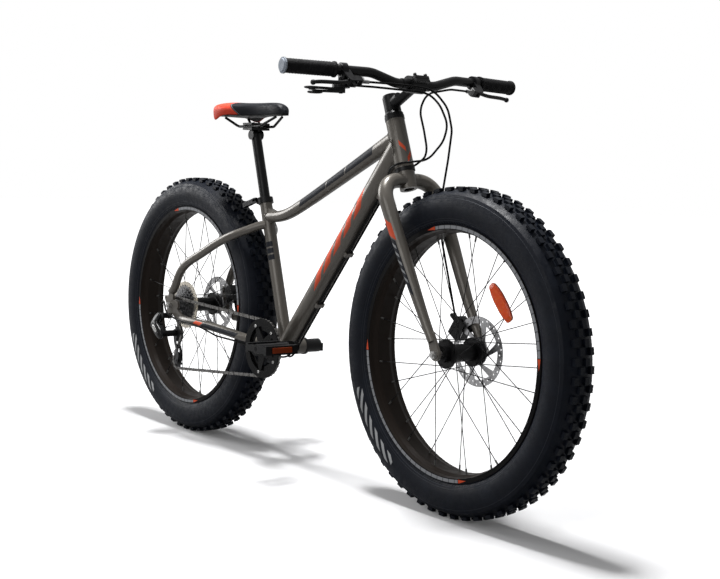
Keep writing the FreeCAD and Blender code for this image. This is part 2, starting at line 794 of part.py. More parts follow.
def headset_cover():
    """The tapered cover on the upper cup, and the cap on the stem."""
    bore = "steerer_diameter / 2"
    cover = turned(
        "top_cover",
        [
            ("0", bore),
            ("0", "cup_diameter / 2 - 1"),
            ("top_cover_height * 0.4", "cup_diameter / 2 - 1"),
            ("top_cover_height", "stem_clamp_diameter / 2 - 1"),
            ("top_cover_height", bore),
        ],
        steer(COVER_LOW),
        STEER_WAY,
    )
    cap = cylinder("stem_lid", "stem_clamp_diameter - 4", "stem_cap_height", steer(STEM_TOP), STEER_WAY)
    node("headset_covers", compound("headset_covers", cover, cap))


SWEEP = math.radians(s.bar_sweep)
BEND_IN = s.bar_clamp_width / 2 + 36
BEND_OUT = BEND_IN + 68


def bar_way(side):
    """The direction of the bar's swept end."""
    return Vector(-math.sin(SWEEP), side * math.cos(SWEEP), 0)


def bar_point(side, reach):
    """A point on the swept end of the bar, at a sideways reach from the middle."""
    bend = BAR + Vector(-5, side * BEND_OUT, s.bar_rise)
    return bend + bar_way(side) * ((reach - BEND_OUT) / math.cos(SWEEP))


def handlebar():
    """A riser bar with a thick middle, bent up and swept back."""
    points = [
        bar_point(-1, s.bar_half_width),
        bar_point(-1, BEND_OUT),
        BAR - SIDE * BEND_IN,
        BAR + SIDE * BEND_IN,
        bar_point(1, BEND_OUT),
        bar_point(1, s.bar_half_width),
    ]
    bar = swept("bar_tube", points, s.bar_diameter * 4, "bar_diameter")
    bore = swept("bar_hollow", points, s.bar_diameter * 4, "bar_diameter - 2 * bar_wall")
    middle = cylinder(
        "bar_middle", "bar_centre_diameter", "bar_clamp_width * 1.9", BAR - SIDE * s.bar_clamp_width * 0.95, SIDE
    )
    node("handlebar", cut("handlebar", fuse("bar_blank", bar, middle), bore))


GRIP_IN = s.bar_half_width - s.grip_length * math.cos(SWEEP)


def grips():
    """A grip with collars on each end of the bar, and a plug that closes the tube."""
    pieces = []
    for name, side in SIDES:
        bore = "bar_diameter / 2"
        collar = "grip_diameter / 2 + 2"
        outside = "grip_diameter / 2"
        outline = [
            ("0", bore),
            ("0", collar),
            ("4", collar),
            ("7", outside),
            ("grip_length - 6", outside),
            ("grip_length - 4", collar),
            ("grip_length", collar),
            ("grip_length", bore),
        ]
        pieces.append(turned("grip_" + name, outline, bar_point(side, GRIP_IN), bar_way(side)))
        tight = "bar_diameter / 2 - bar_wall"
        plug = [
            ("0", "0"),
            ("0", tight),
            ("20", tight),
            ("20", "grip_diameter / 2 - 1"),
            ("20 + grip_plug_depth", "grip_diameter / 2 - 2"),
            ("20 + grip_plug_depth", "0"),
        ]
        start = bar_point(side, s.bar_half_width) - bar_way(side) * 20
        pieces.append(turned("plug_" + name, plug, start, bar_way(side)))
    node("grips", compound("grips", *pieces))



# Wheels


def tyre_profile():
    """The casing's section as (sideways, radius): beads on the rim, a wide body, a flat crown."""
    bead = s.rim_width / 2 - s.rim_wall
    seat = s.rim_radius - 6.5
    wide = s.tyre_width / 2
    crown = s.tyre_radius - s.tread_depth
    belly = (s.rim_radius + crown) / 2 - 4
    shoulder = (wide - 7, crown - 13)
    wall = s.tyre_wall

    def spot(side, out):
        return Vector(0, side, out)

    def mirrored(point):
        return Vector(0, -point.y, point.z)

    outside = [spot(bead, seat), spot(bead, s.rim_radius + 1), spot(wide, belly), spot(*shoulder)]
    inside = [
        spot(bead - wall, seat),
        spot(bead - wall, s.rim_radius + 1),
        spot(wide - wall, belly),
        spot(shoulder[0] - wall, shoulder[1] - wall),
    ]

    def edges(points, top):
        other = [mirrored(point) for point in points]
        return [
            Part.LineSegment(points[0], points[1]),
            Part.Arc(points[1], points[2], points[3]),
            Part.Arc(points[3], top, other[3]),
            Part.Arc(other[3], other[2], other[1]),
            Part.LineSegment(other[1], other[0]),
        ]

    loop = edges(outside, spot(0, crown))
    loop.append(Part.LineSegment(mirrored(outside[0]), mirrored(inside[0])))
    loop += edges(inside, spot(0, crown - wall))
    loop.append(Part.LineSegment(inside[0], outside[0]))
    return Part.Face(Part.Wire(Part.__sortEdges__([edge.toShape() for edge in loop])))


def knob(inner, outer, top_inner, top_outer, start, stop):
    """One tread block: its sideways edges, its tops, and where it starts and stops in degrees."""
    root = s.tyre_wall / 2 + s.tread_depth
    corners = [
        Vector(0, inner, top_inner - root),
        Vector(0, inner, top_inner),
        Vector(0, outer, top_outer),
        Vector(0, outer, top_outer - root),
    ]
    face = Part.Face(Part.makePolygon(corners + corners[:1]))
    face.rotate(Vector(), SIDE, start)
    return face.revolve(Vector(), SIDE, stop - start)


def tread_blocks(pitch):
    """The blocks of one pitch: a middle pair, a pair beside it and a pair on the shoulders."""
    top = s.tyre_radius
    wide = s.tyre_width / 2
    rows = (
        (0.03, 0.27, 0, 0.2, (0.08, 0.5), (0.54, 0.95)),
        (0.34, 0.57, 0.4, 1.6, (0.52, 0.94), (0.06, 0.48)),
        (0.64, 0.9, 2.6, 8.2, (0.1, 0.56), (0.5, 0.92)),
    )
    blocks = []
    for inner, outer, drop_inner, drop_outer, left, right in rows:
        for side, (start, stop) in ((1, left), (-1, right)):
            edges = (side * wide * inner, side * wide * outer, top - drop_inner, top - drop_outer)
            blocks.append(knob(*edges, start * pitch, stop * pitch))
    return blocks


def tyre_shape():
    """One pitch of casing and blocks, repeated round the wheel and joined into one solid."""
    count = round(s.tread_pitches)
    pitch = 360 / count
    sector = tyre_profile().revolve(Vector(), SIDE, pitch).fuse(tread_blocks(pitch))
    far = Rotation(SIDE, pitch).multVec(UP)
    open_faces = []
    for face in sector.Faces:
        ends = [max(abs(v.Point.cross(way).y) for v in face.Vertexes) < 0.01 for way in (UP, far)]
        if not any(ends):
            open_faces.append(face)
    faces = []
    for n in range(count):
        for face in open_faces:
            copy = face.copy()
            copy.rotate(Vector(), SIDE, n * pitch)
            faces.append(copy)
    joined = Part.makeCompound(faces)
    joined.sewShape()
    shape = Part.Solid(joined.Shells[0])
    if shape.Volume < 0:
        shape.reverse()
    return shape


def inner_tube(label, centre):
    """A thin rubber ring inside the tyre, just clear of its crown."""
    place = Placement(centre, Rotation(Vector(0, 0, 1), SIDE))
    room = "(tyre_radius - tread_depth - tyre_wall - side_clearance - rim_radius)"
    middle = "rim_radius + %s / 2" % room
    skin = part("Torus", label + "_skin", place, Radius1=middle, Radius2=room + " / 2")
    air = part("Torus", label + "_air", place, Radius1=middle, Radius2=room + " / 2 - inner_tube_wall")
    return cut(label, skin, air)


def rim(label, centre):
    """A wide rim with a raised bead seat at each edge and a dropped middle."""
    wide = "rim_width"
    outside = [
        ("0", "rim_radius"),
        ("rim_wall", "rim_radius"),
        ("rim_wall", "rim_radius - 6.5"),
        ("rim_width * 0.18", "rim_radius - 8"),
        ("rim_width * 0.3", "rim_radius - rim_depth + rim_wall"),
    ]
    inside = [
        ("rim_width * 0.28", "rim_radius - rim_depth"),
        ("rim_width * 0.15", "rim_radius - 8 - rim_wall * 1.4"),
        ("0", "rim_radius - 7.5 - rim_wall"),
    ]

    def mirrored(points):
        return [(wide if place == "0" else "%s - %s" % (wide, place), out) for place, out in reversed(points)]

    outline = outside + mirrored(outside) + mirrored(inside) + inside
    return turned(label, outline, centre - SIDE * s.rim_width / 2, SIDE)


def hub(label, prefix, start):
    """A hub shell with two flanges and a rotor seat, and a bearing in each end."""
    right = prefix + "_flange_right"
    left = prefix + "_flange_left"
    seat = prefix + "_rotor_seat"
    length = prefix + "_hub_length"
    half = "flange_thickness / 2"
    bearing = "hub_bearing_diameter / 2"
    flange = "flange_diameter / 2"
    barrel = "barrel_diameter / 2"
    outline = [
        ("0", bearing),
        ("0", "hub_end_diameter / 2"),
        ("%s - %s" % (right, half), "hub_end_diameter / 2"),
        ("%s - %s" % (right, half), flange),
        ("%s + %s" % (right, half), flange),
        ("%s + %s" % (right, half), barrel),
        ("%s - %s" % (left, half), barrel),
        ("%s - %s" % (left, half), flange),
        ("%s + %s" % (left, half), flange),
        ("%s + %s" % (left, half), "rotor_seat_diameter / 2"),
        (seat, "rotor_seat_diameter / 2"),
        (seat, "rotor_pilot_diameter / 2"),
        (length, "rotor_pilot_diameter / 2"),
        (length, bearing),
        (length + " - hub_bearing_width", bearing),
        (length + " - hub_bearing_width", "hub_core_diameter / 2"),
        ("hub_bearing_width", "hub_core_diameter / 2"),
        ("hub_bearing_width", bearing),
    ]
    shell = turned(label + "_shell", outline, start, SIDE)
    bearings = []
    for name, offset in (("right", 0), ("left", getattr(s, length) - s.hub_bearing_width)):
        bearings.append(
            ring(
                "%s_bearing_%s" % (label, name), "hub_bearing_diameter", "axle_diameter + 2 * running_clearance",
                "hub_bearing_width", start + SIDE * offset, SIDE,
            )
        )
    node(label, compound(label, shell, *bearings))


def axle(label, centre, spacing, cones):
    """A shaft held in the dropouts, with a cone at each side and a nut outside each dropout."""
    half = getattr(s, spacing) / 2
    over = half + s.dropout_thickness + s.axle_nut_height + s.axle_diameter * 0.4
    length = "%s + 2 * (dropout_thickness + axle_nut_height + axle_diameter * 0.4)" % spacing
    shaft = cylinder(label + "_shaft", "axle_diameter", length, centre - SIDE * over, SIDE)
    pieces = [shaft]
    nuts = []
    for (name, side), reach in zip(SIDES, cones):
        inner = centre + SIDE * side * half
        rule = "%s / 2 - side_clearance - (%s)" % (spacing, reach)
        pieces.append(cylinder("%s_cone_%s" % (label, name), "axle_cone_diameter", rule, inner, SIDE * -side))
        face = centre + SIDE * side * (half + s.dropout_thickness)
        hexagon = part(
            "Prism", "%s_hexagon_%s" % (label, name), along(face, SIDE * side),
            Circumradius="axle_nut_diameter / 2", Height="axle_nut_height",
        )
        hexagon.Polygon = 6
        nuts.append(cut("%s_nut_%s" % (label, name), hexagon, shaft))
    node(label, compound(label, fuse(label + "_turned", *pieces), *nuts))


def spoke(start, end):
    """A straight spoke with its nipple, as one turned solid."""
    way = end - start
    length = way.Length
    thin = s.spoke_diameter / 2
    thick = s.nipple_diameter / 2
    neck = length - s.nipple_length
    outline = [(0, 0), (0, thin), (neck, thin), (neck, thick), (length, thick), (length, 0), (0, 0)]
    face = Part.Face(Part.makePolygon([Vector(x, out, 0) for x, out in outline]))
    shape = face.revolve(Vector(), FORE, 360)
    shape.Placement = Placement(start, Rotation(FORE, way))
    return shape


def spokes(label, centre, prefix, start):
    """Crossed spokes: even ones to the left flange, odd ones to the right, in and out by turns."""
    count = round(s.spoke_count)
    hole = s.spoke_circle_diameter / 2
    seat = s.rim_radius - s.rim_depth - s.side_clearance - s.nipple_diameter * 0.1
    row = s.rim_width * 0.17
    lean = 0.12 * math.sqrt(s.flange_diameter ** 2 - s.spoke_circle_diameter ** 2) / 2
    face = (s.flange_thickness + s.spoke_diameter) / 2 + s.side_clearance
    shapes = []
    for n in range(count):
        side = 1 if n % 2 == 0 else -1
        flange = start + getattr(s, prefix + ("_flange_left" if side > 0 else "_flange_right"))
        outside = (n // 2) % 2 == 0
        cross = (3 if outside else -3) * 720 / count
        at_rim = 360 * n / count
        offset = face + lean if outside else -face
        low = Rotation(SIDE, at_rim + cross).multVec(UP) * hole + SIDE * (flange + side * offset)
        high = Rotation(SIDE, at_rim).multVec(UP) * seat + SIDE * side * row
        shapes.append(spoke(centre + low, centre + high))
    node(label, solid(label, Part.makeCompound(shapes)))


def circle_wire(centre, radius):
    return Part.Wire(Part.makeCircle(radius, centre, SIDE))


def polar(radius, degrees):
    """A point in the wheel's plane, with the angle measured from the front towards the top."""
    angle = math.radians(degrees)
    return Vector(radius * math.cos(angle), 0, radius * math.sin(angle))


def window(inner, outer, start, stop, twist):
    """A rotor window between two radii, whose sides lean by a twist."""
    middle = (start + stop) / 2
    corners = [polar(inner, start), polar(inner, stop), polar(outer, stop + twist), polar(outer, start + twist)]
    edges = [
        Part.Arc(corners[0], polar(inner, middle), corners[1]),
        Part.LineSegment(corners[1], corners[2]),
        Part.Arc(corners[2], polar(outer, middle + twist), corners[3]),
        Part.LineSegment(corners[3], corners[0]),
    ]
    return Part.Wire([edge.toShape() for edge in edges])


def rotor(label, centre, offset):
    """A brake disc with six leaning arms and a drilled band."""
    outer = s.rotor_diameter / 2
    wires = [circle_wire(Vector(), outer), circle_wire(Vector(), s.rotor_pilot_diameter / 2)]
    arms = 6
    for n in range(arms):
        turn = 360 / arms * n
        wires.append(window(s.rotor_seat_diameter / 2 + 5, outer - 16, turn, turn + 44, 24))
    holes = 36
    for n in range(holes):
        reach = outer - (5 if n % 2 else 10.5)
        wires.append(circle_wire(polar(reach, 360 / holes * n), 2.3))
    shape = Part.Face(wires, "Part::FaceMakerBullseye").extrude(SIDE * s.rotor_thickness)
    shape.translate(centre + SIDE * offset)
    node(label, solid(label, shape))


FRONT_HUB_START = -s.front_hub_length / 2
REAR_HUB_START = -s.rear_hub_offset
FREEHUB_END = -s.chain_line - s.sprocket_spacing


def wheels():
    tyre = tyre_shape()
    ends = {
        "front": (FRONT_AXLE, FRONT_HUB_START, ("front_hub_length / 2", "front_hub_length / 2")),
        "rear": (
            REAR_AXLE, REAR_HUB_START, ("chain_line + sprocket_spacing", "rear_hub_length - rear_hub_offset")
        ),
    }
    for prefix, (centre, start, cones) in ends.items():
        placed = tyre.copy()
        placed.translate(centre)
        casing = solid(prefix + "_casing", placed)
        node(prefix + "_tyre", compound(prefix + "_tyre", casing, inner_tube(prefix + "_inner_tube", centre)))
        node(prefix + "_rim", rim(prefix + "_rim", centre))
        hub(prefix + "_hub", prefix, centre + SIDE * start)
        spokes(prefix + "_spokes", centre, prefix, start)
        rotor(prefix + "_rotor", centre, start + getattr(s, prefix + "_rotor_seat"))
        axle(prefix + "_axle", centre, prefix + "_spacing", cones)
    spoke_reflector()


def spoke_reflector():
    """A reflector clipped along the right-hand spokes of the front wheel, ahead of and above the hub."""
    out = polar(1, 40)
    offset = s.front_flange_right - s.front_hub_length / 2 + s.rim_width * 0.19 - s.reflector_thickness / 2
    centre = FRONT_AXLE + out * s.reflector_radius + SIDE * offset
    place = framed(centre, out, SIDE)
    node(
        "spoke_reflector",
        box("spoke_reflector", "reflector_width", "reflector_length", "reflector_thickness", place),
    )


# Chain drive


def pitch_radius(teeth):
    return s.chain_pitch / 2 / math.sin(math.pi / teeth)


def toothed_wire(teeth, phase):
    """The outline of a chain wheel, with a valley for a roller at the phase angle."""
    valley = s.roller_diameter / 2 + 0.15
    middle = pitch_radius(teeth)
    step = 360 / teeth
    edges = []
    for n in range(teeth):
        at = phase + n * step
        seat = polar(middle, at)
        out = polar(1, at)
        across = polar(1, at + 90)
        lean = math.radians(78)
        low = seat - out * (valley * math.cos(lean)) - across * (valley * math.sin(lean))
        high = seat - out * (valley * math.cos(lean)) + across * (valley * math.sin(lean))
        tip = middle + s.chain_pitch * 0.22
        crest = [polar(tip, at + step * share) for share in (0.43, 0.57)]
        next_seat = polar(middle, at + step)
        next_out = polar(1, at + step)
        next_across = polar(1, at + step + 90)
        next_low = next_seat - next_out * (valley * math.cos(lean)) - next_across * (valley * math.sin(lean))
        edges.append(Part.Arc(low, seat - out * valley, high))
        edges.append(Part.LineSegment(high, crest[0]))
        edges.append(Part.LineSegment(crest[0], crest[1]))
        edges.append(Part.LineSegment(crest[1], next_low))
    return Part.Wire([edge.toShape() for edge in edges])


def chain_wheel(teeth, phase, bore, thickness, holes=()):
    """A toothed disc standing on both sides of its plane."""
    wires = [toothed_wire(teeth, phase), circle_wire(Vector(), bore / 2), *holes]
    shape = Part.Face(wires, "Part::FaceMakerBullseye").extrude(SIDE * thickness)
    shape.translate(SIDE * -thickness / 2)
    return shape


COGS = (11, 13, 15, 18, 21, 24, 28)
GUIDE_PULLEY = REAR_AXLE + Vector(s.guide_pulley_lead, 0, -s.guide_pulley_drop)


def tangent(first, second):
    """The run of chain that leaves one wheel and meets the next; a wheel is (centre, teeth, turn)."""
    span = second[0] - first[0]
    offset = second[2] * pitch_radius(second[1]) - first[2] * pitch_radius(first[1])
    angle = math.atan2(span.z, span.x) - math.asin(offset / span.Length)
    left = Vector(-math.sin(angle), 0, math.cos(angle))
    return [wheel[0] - left * (wheel[2] * pitch_radius(wheel[1])) for wheel in (first, second)]


def chain_wheels(cage_angle):
    """The wheels in the order that the chain passes them, each with its teeth and its sense of turn."""
    tension = GUIDE_PULLEY + polar(s.pulley_distance, cage_angle)
    pulley = round(s.pulley_teeth)
    return [
        (CRANK_AXIS, round(s.chainring_teeth), -1),
        (tension, pulley, -1),
        (GUIDE_PULLEY, pulley, 1),
        (REAR_AXLE, COGS[0], -1),
    ]


def chain_runs(cage_angle):
    """Each wheel's wrap and the straight run after it, measured in links."""
    wheels_passed = chain_wheels(cage_angle)
    count = len(wheels_passed)
    lines = [tangent(wheels_passed[n], wheels_passed[(n + 1) % count]) for n in range(count)]
    runs = []
    for n, (centre, teeth, turn) in enumerate(wheels_passed):
        enter = lines[n - 1][1] - centre
        leave = lines[n][0] - centre
        start = math.degrees(math.atan2(enter.z, enter.x))
        swing = (turn * (math.degrees(math.atan2(leave.z, leave.x)) - start)) % 360
        runs.append((centre, teeth, turn, start, swing / 360 * teeth, lines[n]))
    return runs


def chain_links(cage_angle):
    """The chain's length in links."""
    return sum(
        wrap + (line[1] - line[0]).Length / s.chain_pitch for _, _, _, _, wrap, line in chain_runs(cage_angle)
    )


def taut_cage_angle():
    """The cage angle, near straight down, that makes the chain a whole even number of links."""
    low, high = 258.0, 292.0
    least, most = sorted((chain_links(low), chain_links(high)))
    links = 2 * round((least + most) / 4)
    rising = chain_links(high) > chain_links(low)
    for _ in range(60):
        middle = (low + high) / 2
        if (chain_links(middle) < links) == rising:
            low = middle
        else:
            high = middle
    return low, links


CAGE_ANGLE, LINKS = taut_cage_angle()
TENSION_PULLEY = chain_wheels(CAGE_ANGLE)[1][0]


def roller_places():
    """Where each roller sits round the loop, and a valley angle for each wheel."""
    places = []
    phases = []
    position = 0.0
    for centre, teeth, turn, start, wrap, line in chain_runs(CAGE_ANGLE):
        first = math.ceil(position - 1e-9) - position
        phases.append(start + turn * first / teeth * 360)
        while len(places) < min(LINKS, position + wrap):
            reach = len(places) - position
            places.append(centre + polar(pitch_radius(teeth), start + turn * reach / teeth * 360))
        position += wrap
        run = (line[1] - line[0]).Length / s.chain_pitch
        while len(places) < min(LINKS, position + run):
            reach = len(places) - position
            places.append(line[0] + (line[1] - line[0]) * (reach / run))
        position += run
    return places, phases


def link(plate_in, plate_out, height, pin, bore):
    """A chain link along X: two plates with a roller or a pin at each end."""
    pitch = s.chain_pitch
    half = height / 2
    waist = half * 0.8
    edges = [
        Part.Arc(Vector(0, 0, half), Vector(-half, 0, 0), Vector(0, 0, -half)),
        Part.Arc(Vector(0, 0, -half), Vector(pitch / 2, 0, -waist), Vector(pitch, 0, -half)),
        Part.Arc(Vector(pitch, 0, -half), Vector(pitch + half, 0, 0), Vector(pitch, 0, half)),
        Part.Arc(Vector(pitch, 0, half), Vector(pitch / 2, 0, waist), Vector(0, 0, half)),
    ]
    plate = Part.Face(Part.Wire([edge.toShape() for edge in edges]))
    pieces = []
    for low in (plate_in, -plate_out):
        side = plate.extrude(SIDE * (plate_out - plate_in))
        side.translate(SIDE * low)
        pieces.append(side)
    reach = plate_in if bore else plate_out
    for x in (0, pitch):
        pieces.append(Part.makeCylinder(pin, 2 * reach, Vector(x, -reach, 0), SIDE))
    shape = pieces[0].fuse(pieces[1:])
    if bore:
        holes = [Part.makeCylinder(bore, 4 * plate_out, Vector(x, -2 * plate_out, 0), SIDE) for x in (0, pitch)]
        shape = shape.cut(holes)
    return shape


def chain():
    """Inner and outer links by turns, laid from roller to roller."""
    places, _ = roller_places()
    height = s.roller_diameter + 0.7
    inner = link(1.3, 2.3, height, s.roller_diameter / 2, 2.1)
    outer = link(2.4, 3.4, height, 1.7, None)
    shapes = []
    for n, place in enumerate(places):
        way = places[(n + 1) % len(places)] - place
        shape = (inner if n % 2 == 0 else outer).copy()
        turn = Rotation(SIDE, -math.degrees(math.atan2(way.z, way.x)))
        shape.Placement = Placement(place - SIDE * s.chain_line, turn)
        shapes.append(shape)
    node("chain", solid("chain", Part.makeCompound(shapes)))


def cassette(phase):
    """Seven sprockets on the freehub, smallest outermost."""
    pieces = []
    for n, teeth in enumerate(COGS):
        disc = chain_wheel(teeth, phase, s.freehub_diameter, s.sprocket_thickness)
        if n > 0:
            boss = Part.makeCylinder(s.sprocket_boss_diameter / 2, s.sprocket_spacing, Vector(), SIDE * -1)
            hole = Part.makeCylinder(s.freehub_diameter / 2, s.sprocket_spacing, Vector(), SIDE * -1)
            disc = disc.fuse(boss.cut(hole))
        disc.translate(REAR_AXLE + SIDE * (n * s.sprocket_spacing - s.chain_line))
        pieces.append(solid("sprocket_%d" % teeth, disc))
    start = REAR_AXLE + SIDE * FREEHUB_END
    depth = "chain_line + sprocket_spacing - rear_hub_offset - side_clearance"
    body = ring("freehub", "freehub_diameter", "axle_diameter + 2 * running_clearance", depth, start, SIDE)
    node("cassette", compound("cassette", body, *pieces))


def spoke_guard():
    """A thin disc between the sprockets and the spokes, on the end of the hub."""
    start = REAR_AXLE + SIDE * (REAR_HUB_START + s.side_clearance)
    sizes_used = ("spoke_guard_diameter", "hub_end_diameter", "spoke_guard_thickness")
    node("spoke_guard", ring("spoke_guard", *sizes_used, start, SIDE))


# Cranks, chainring and pedals

CRANK_WAY = polar(1, s.crank_angle)
ARM_OUT = s.crank_arm_offset + s.crank_thickness
PEDALS = {side: CRANK_AXIS - CRANK_WAY * (side * s.crank_length) for _, side in SIDES}


def bottom_bracket_cups():
    """Bearing cups in the shell's ends, which carry the crank spindle."""
    bore = "spindle_diameter / 2 + running_clearance"
    flange = "(bottom_bracket_diameter + stay_wall) / 2"
    outline = [
        ("0", bore),
        ("0", "bottom_bracket_bore / 2"),
        ("cup_depth", "bottom_bracket_bore / 2"),
        ("cup_depth", flange),
        ("cup_depth + bearing_cup_width", flange),
        ("cup_depth + bearing_cup_width", bore),
    ]
    cups = []
    for name, side in SIDES:
        start = CRANK_AXIS + SIDE * side * (s.bottom_bracket_width / 2 - s.cup_depth)
        cups.append(turned("bearing_cup_" + name, outline, start, SIDE * side))
    node("bottom_bracket_cups", compound("bottom_bracket_cups", *cups))


def crank_arm(name, side):
    """An arm with its boss at the shell and the spindle that its pedal turns on."""
    end = PEDALS[side]
    base = SIDE * (s.crank_arm_offset if side > 0 else -ARM_OUT)
    ends = ("crank_boss_diameter", "crank_end_diameter")
    arm = strap("crank_arm_" + name, CRANK_AXIS + base, end + base, *ends, "crank_thickness", SIDE)
    inner = SIDE * side * s.crank_arm_offset
    depth = "crank_arm_offset - bottom_bracket_width / 2 - bearing_cup_width - side_clearance"
    boss = cylinder("crank_boss_" + name, "crank_boss_diameter", depth, CRANK_AXIS + inner, SIDE * -side)
    reach = "crank_thickness + pedal_gap + pedal_length"
    spindle = cylinder("pedal_spindle_" + name, "pedal_spindle_diameter", reach, end + inner, SIDE * side)
    return [arm, boss, spindle]


def cranks():
    """The left arm carries the spindle; the right arm is bored for it and carries the spider."""
    reach = "2 * crank_arm_offset + crank_thickness"
    spindle = cylinder("crank_spindle", "spindle_diameter", reach, CRANK_AXIS - SIDE * ARM_OUT, SIDE)
    node("crank_left", fuse("crank_left", spindle, *crank_arm("left", 1)))
    spider_face = -s.chain_line - s.chainring_thickness / 2 - s.spider_thickness
    middle = CRANK_AXIS + SIDE * spider_face
    arms = round(s.spider_arms)
    spider = [
        strap(
            "spider_arm_%d" % n, middle, middle + polar(s.spider_radius, s.crank_angle + (n + 0.5) * 360 / arms),
            "crank_boss_diameter", "spider_end_diameter", "spider_thickness", SIDE,
        )
        for n in range(arms)
    ]
    blank = fuse("crank_right_blank", *crank_arm("right", -1), *spider)
    node("crank_right", cut("crank_right", blank, spindle))


def chainring(phase):
    """The toothed ring on the spider's inner face and the guard ring on its outer face."""
    bore = 2 * s.spider_radius - 1.4 * s.spider_end_diameter
    toothed = chain_wheel(round(s.chainring_teeth), phase, bore, s.chainring_thickness)
    toothed.translate(CRANK_AXIS - SIDE * s.chain_line)
    face = CRANK_AXIS - SIDE * (s.chain_line + s.chainring_thickness / 2 + s.spider_thickness)
    inner = "guard_ring_diameter - 2 * guard_ring_width"
    guard = ring("guard_ring", "guard_ring_diameter", inner, "chainring_thickness", face, SIDE * -1)
    node("chainring", compound("chainring", solid("chainring_toothed", toothed), guard))


def pedal(label, side):
    """A cage of two rails and two ends round a barrel, with a reflector on each rail."""
    centre = PEDALS[side] + SIDE * side * (ARM_OUT + s.pedal_gap + s.pedal_length / 2)
    start = centre - SIDE * s.pedal_length / 2
    pieces = [cylinder(label + "_barrel", "pedal_barrel_diameter", "pedal_length", start, SIDE)]
    reflectors = []
    for name, way in (("front", 1), ("back", -1)):
        rail = Placement(centre + FORE * way * (s.pedal_width - s.pedal_rail) / 2, Rotation())
        pieces.append(box("%s_rail_%s" % (label, name), "pedal_rail", "pedal_length", "pedal_height", rail))
        front = centre + FORE * way * (s.pedal_width + s.pedal_reflector) / 2
        lens = box(
            "%s_reflector_%s" % (label, name), "pedal_reflector", "pedal_length * 0.6", "pedal_height * 0.6",
            Placement(front, Rotation()),
        )
        reflectors.append(lens)
        end = Placement(centre + SIDE * way * (s.pedal_length - s.pedal_rail) / 2, Rotation())
        pieces.append(box("%s_end_%s" % (label, name), "pedal_width", "pedal_rail", "pedal_height * 0.7", end))
    bore = cylinder(label + "_bore", "pedal_spindle_diameter + 2 * running_clearance", "pedal_length", start, SIDE)
    cage = cut(label + "_cage", fuse(label + "_blank", *pieces), bore)
    node(label, compound(label, cage, *reflectors))


# Rear derailleur: two links swing sideways from a mount on the hanger and carry the knuckle

LINK_BACK = HANGER.x - s.derailleur_block / 2 - s.side_clearance
LINK_LEAN = math.radians(s.derailleur_link_angle)
LINK_DROP = Vector(0, -math.sin(LINK_LEAN), -math.cos(LINK_LEAN)) * s.derailleur_link_length
DROPOUT_OUT = -DROPOUT_IN - s.dropout_thickness
LINK_TOPS = {
    "inner": HANGER + SIDE * (DROPOUT_OUT - s.derailleur_link_spacing / 2),
    "outer": HANGER + SIDE * (DROPOUT_OUT - s.derailleur_link_spacing * 1.5),
}
CAGE_OUT = -s.chain_line - s.cage_gap / 2 - s.cage_thickness


def link_pins(label, shift):
    """The two pins that stand out behind a block and carry one end of the links."""
    pins = []
    for name, top in LINK_TOPS.items():
        start = top + shift + FORE * (s.derailleur_block / 2)
        reach = "derailleur_block + side_clearance + derailleur_link_width"
        pins.append(cylinder("%s_pin_%s" % (label, name), "derailleur_pin_diameter", reach, start, FORE * -1))
    return pins


def derailleur_block(label, shift):
    """The block that holds both pins, from the inner pin to the outer one."""
    middle = HANGER + SIDE * (DROPOUT_OUT - s.derailleur_link_spacing) + shift
    sizes_used = ("derailleur_block", "2 * derailleur_link_spacing", "derailleur_block * 0.7")
    return box(label, *sizes_used, Placement(middle, Rotation()))


def derailleur():
    mount = derailleur_block("derailleur_mount_block", Vector())
    node("derailleur_mount", fuse("derailleur_mount", mount, *link_pins("mount", Vector())))
    for name, top in LINK_TOPS.items():
        label = "derailleur_%s_link" % name
        start = Vector(LINK_BACK - s.derailleur_link_width, top.y, top.z)
        ends = ("derailleur_link_height", "derailleur_link_height", "derailleur_link_width")
        bar = strap(label + "_bar", start, start + LINK_DROP, *ends, FORE)
        bores = [
            cylinder(
                "%s_bore_%d" % (label, n), "derailleur_pin_diameter + 2 * running_clearance",
                "derailleur_link_width", place, FORE,
            )
            for n, place in enumerate((start, start + LINK_DROP))
        ]
        node(label, cut(label, bar, *bores))
    knuckle()
    cage()
    for label, place, phase in (
        ("tension_pulley", TENSION_PULLEY, PHASES[1]),
        ("guide_pulley", GUIDE_PULLEY, PHASES[2]),
    ):
        bore = s.cage_bolt_diameter + 2 * s.running_clearance
        shape = chain_wheel(round(s.pulley_teeth), phase, bore, s.pulley_thickness)
        shape.translate(place - SIDE * s.chain_line)
        node(label, solid(label, shape))


def knuckle():
    """The lower block, with an arm forward to the boss that the cage pivots in."""
    block = derailleur_block("knuckle_block", LINK_DROP)
    outer = HANGER.y + DROPOUT_OUT - 2 * s.derailleur_link_spacing + LINK_DROP.y
    base = SIDE * outer
    low = HANGER + Vector(0, 0, LINK_DROP.z)
    ends = ("derailleur_block * 0.7", "knuckle_diameter")
    arm = strap("knuckle_arm", low + base, GUIDE_PULLEY + base, *ends, "2 * derailleur_link_spacing", SIDE)
    inner = CAGE_OUT - s.side_clearance
    boss = cylinder("knuckle_boss", "knuckle_diameter", "chain_line", GUIDE_PULLEY + base, SIDE)
    boss.setExpression("Height", None)
    boss.Height = inner - outer
    bore = cylinder(
        "knuckle_bore", "cage_bolt_diameter + 2 * running_clearance", "knuckle_diameter",
        GUIDE_PULLEY + SIDE * inner, SIDE * -1,
    )
    blank = fuse("knuckle_blank", block, arm, boss, *link_pins("knuckle", LINK_DROP))
    node("derailleur_knuckle", cut("derailleur_knuckle", blank, bore))


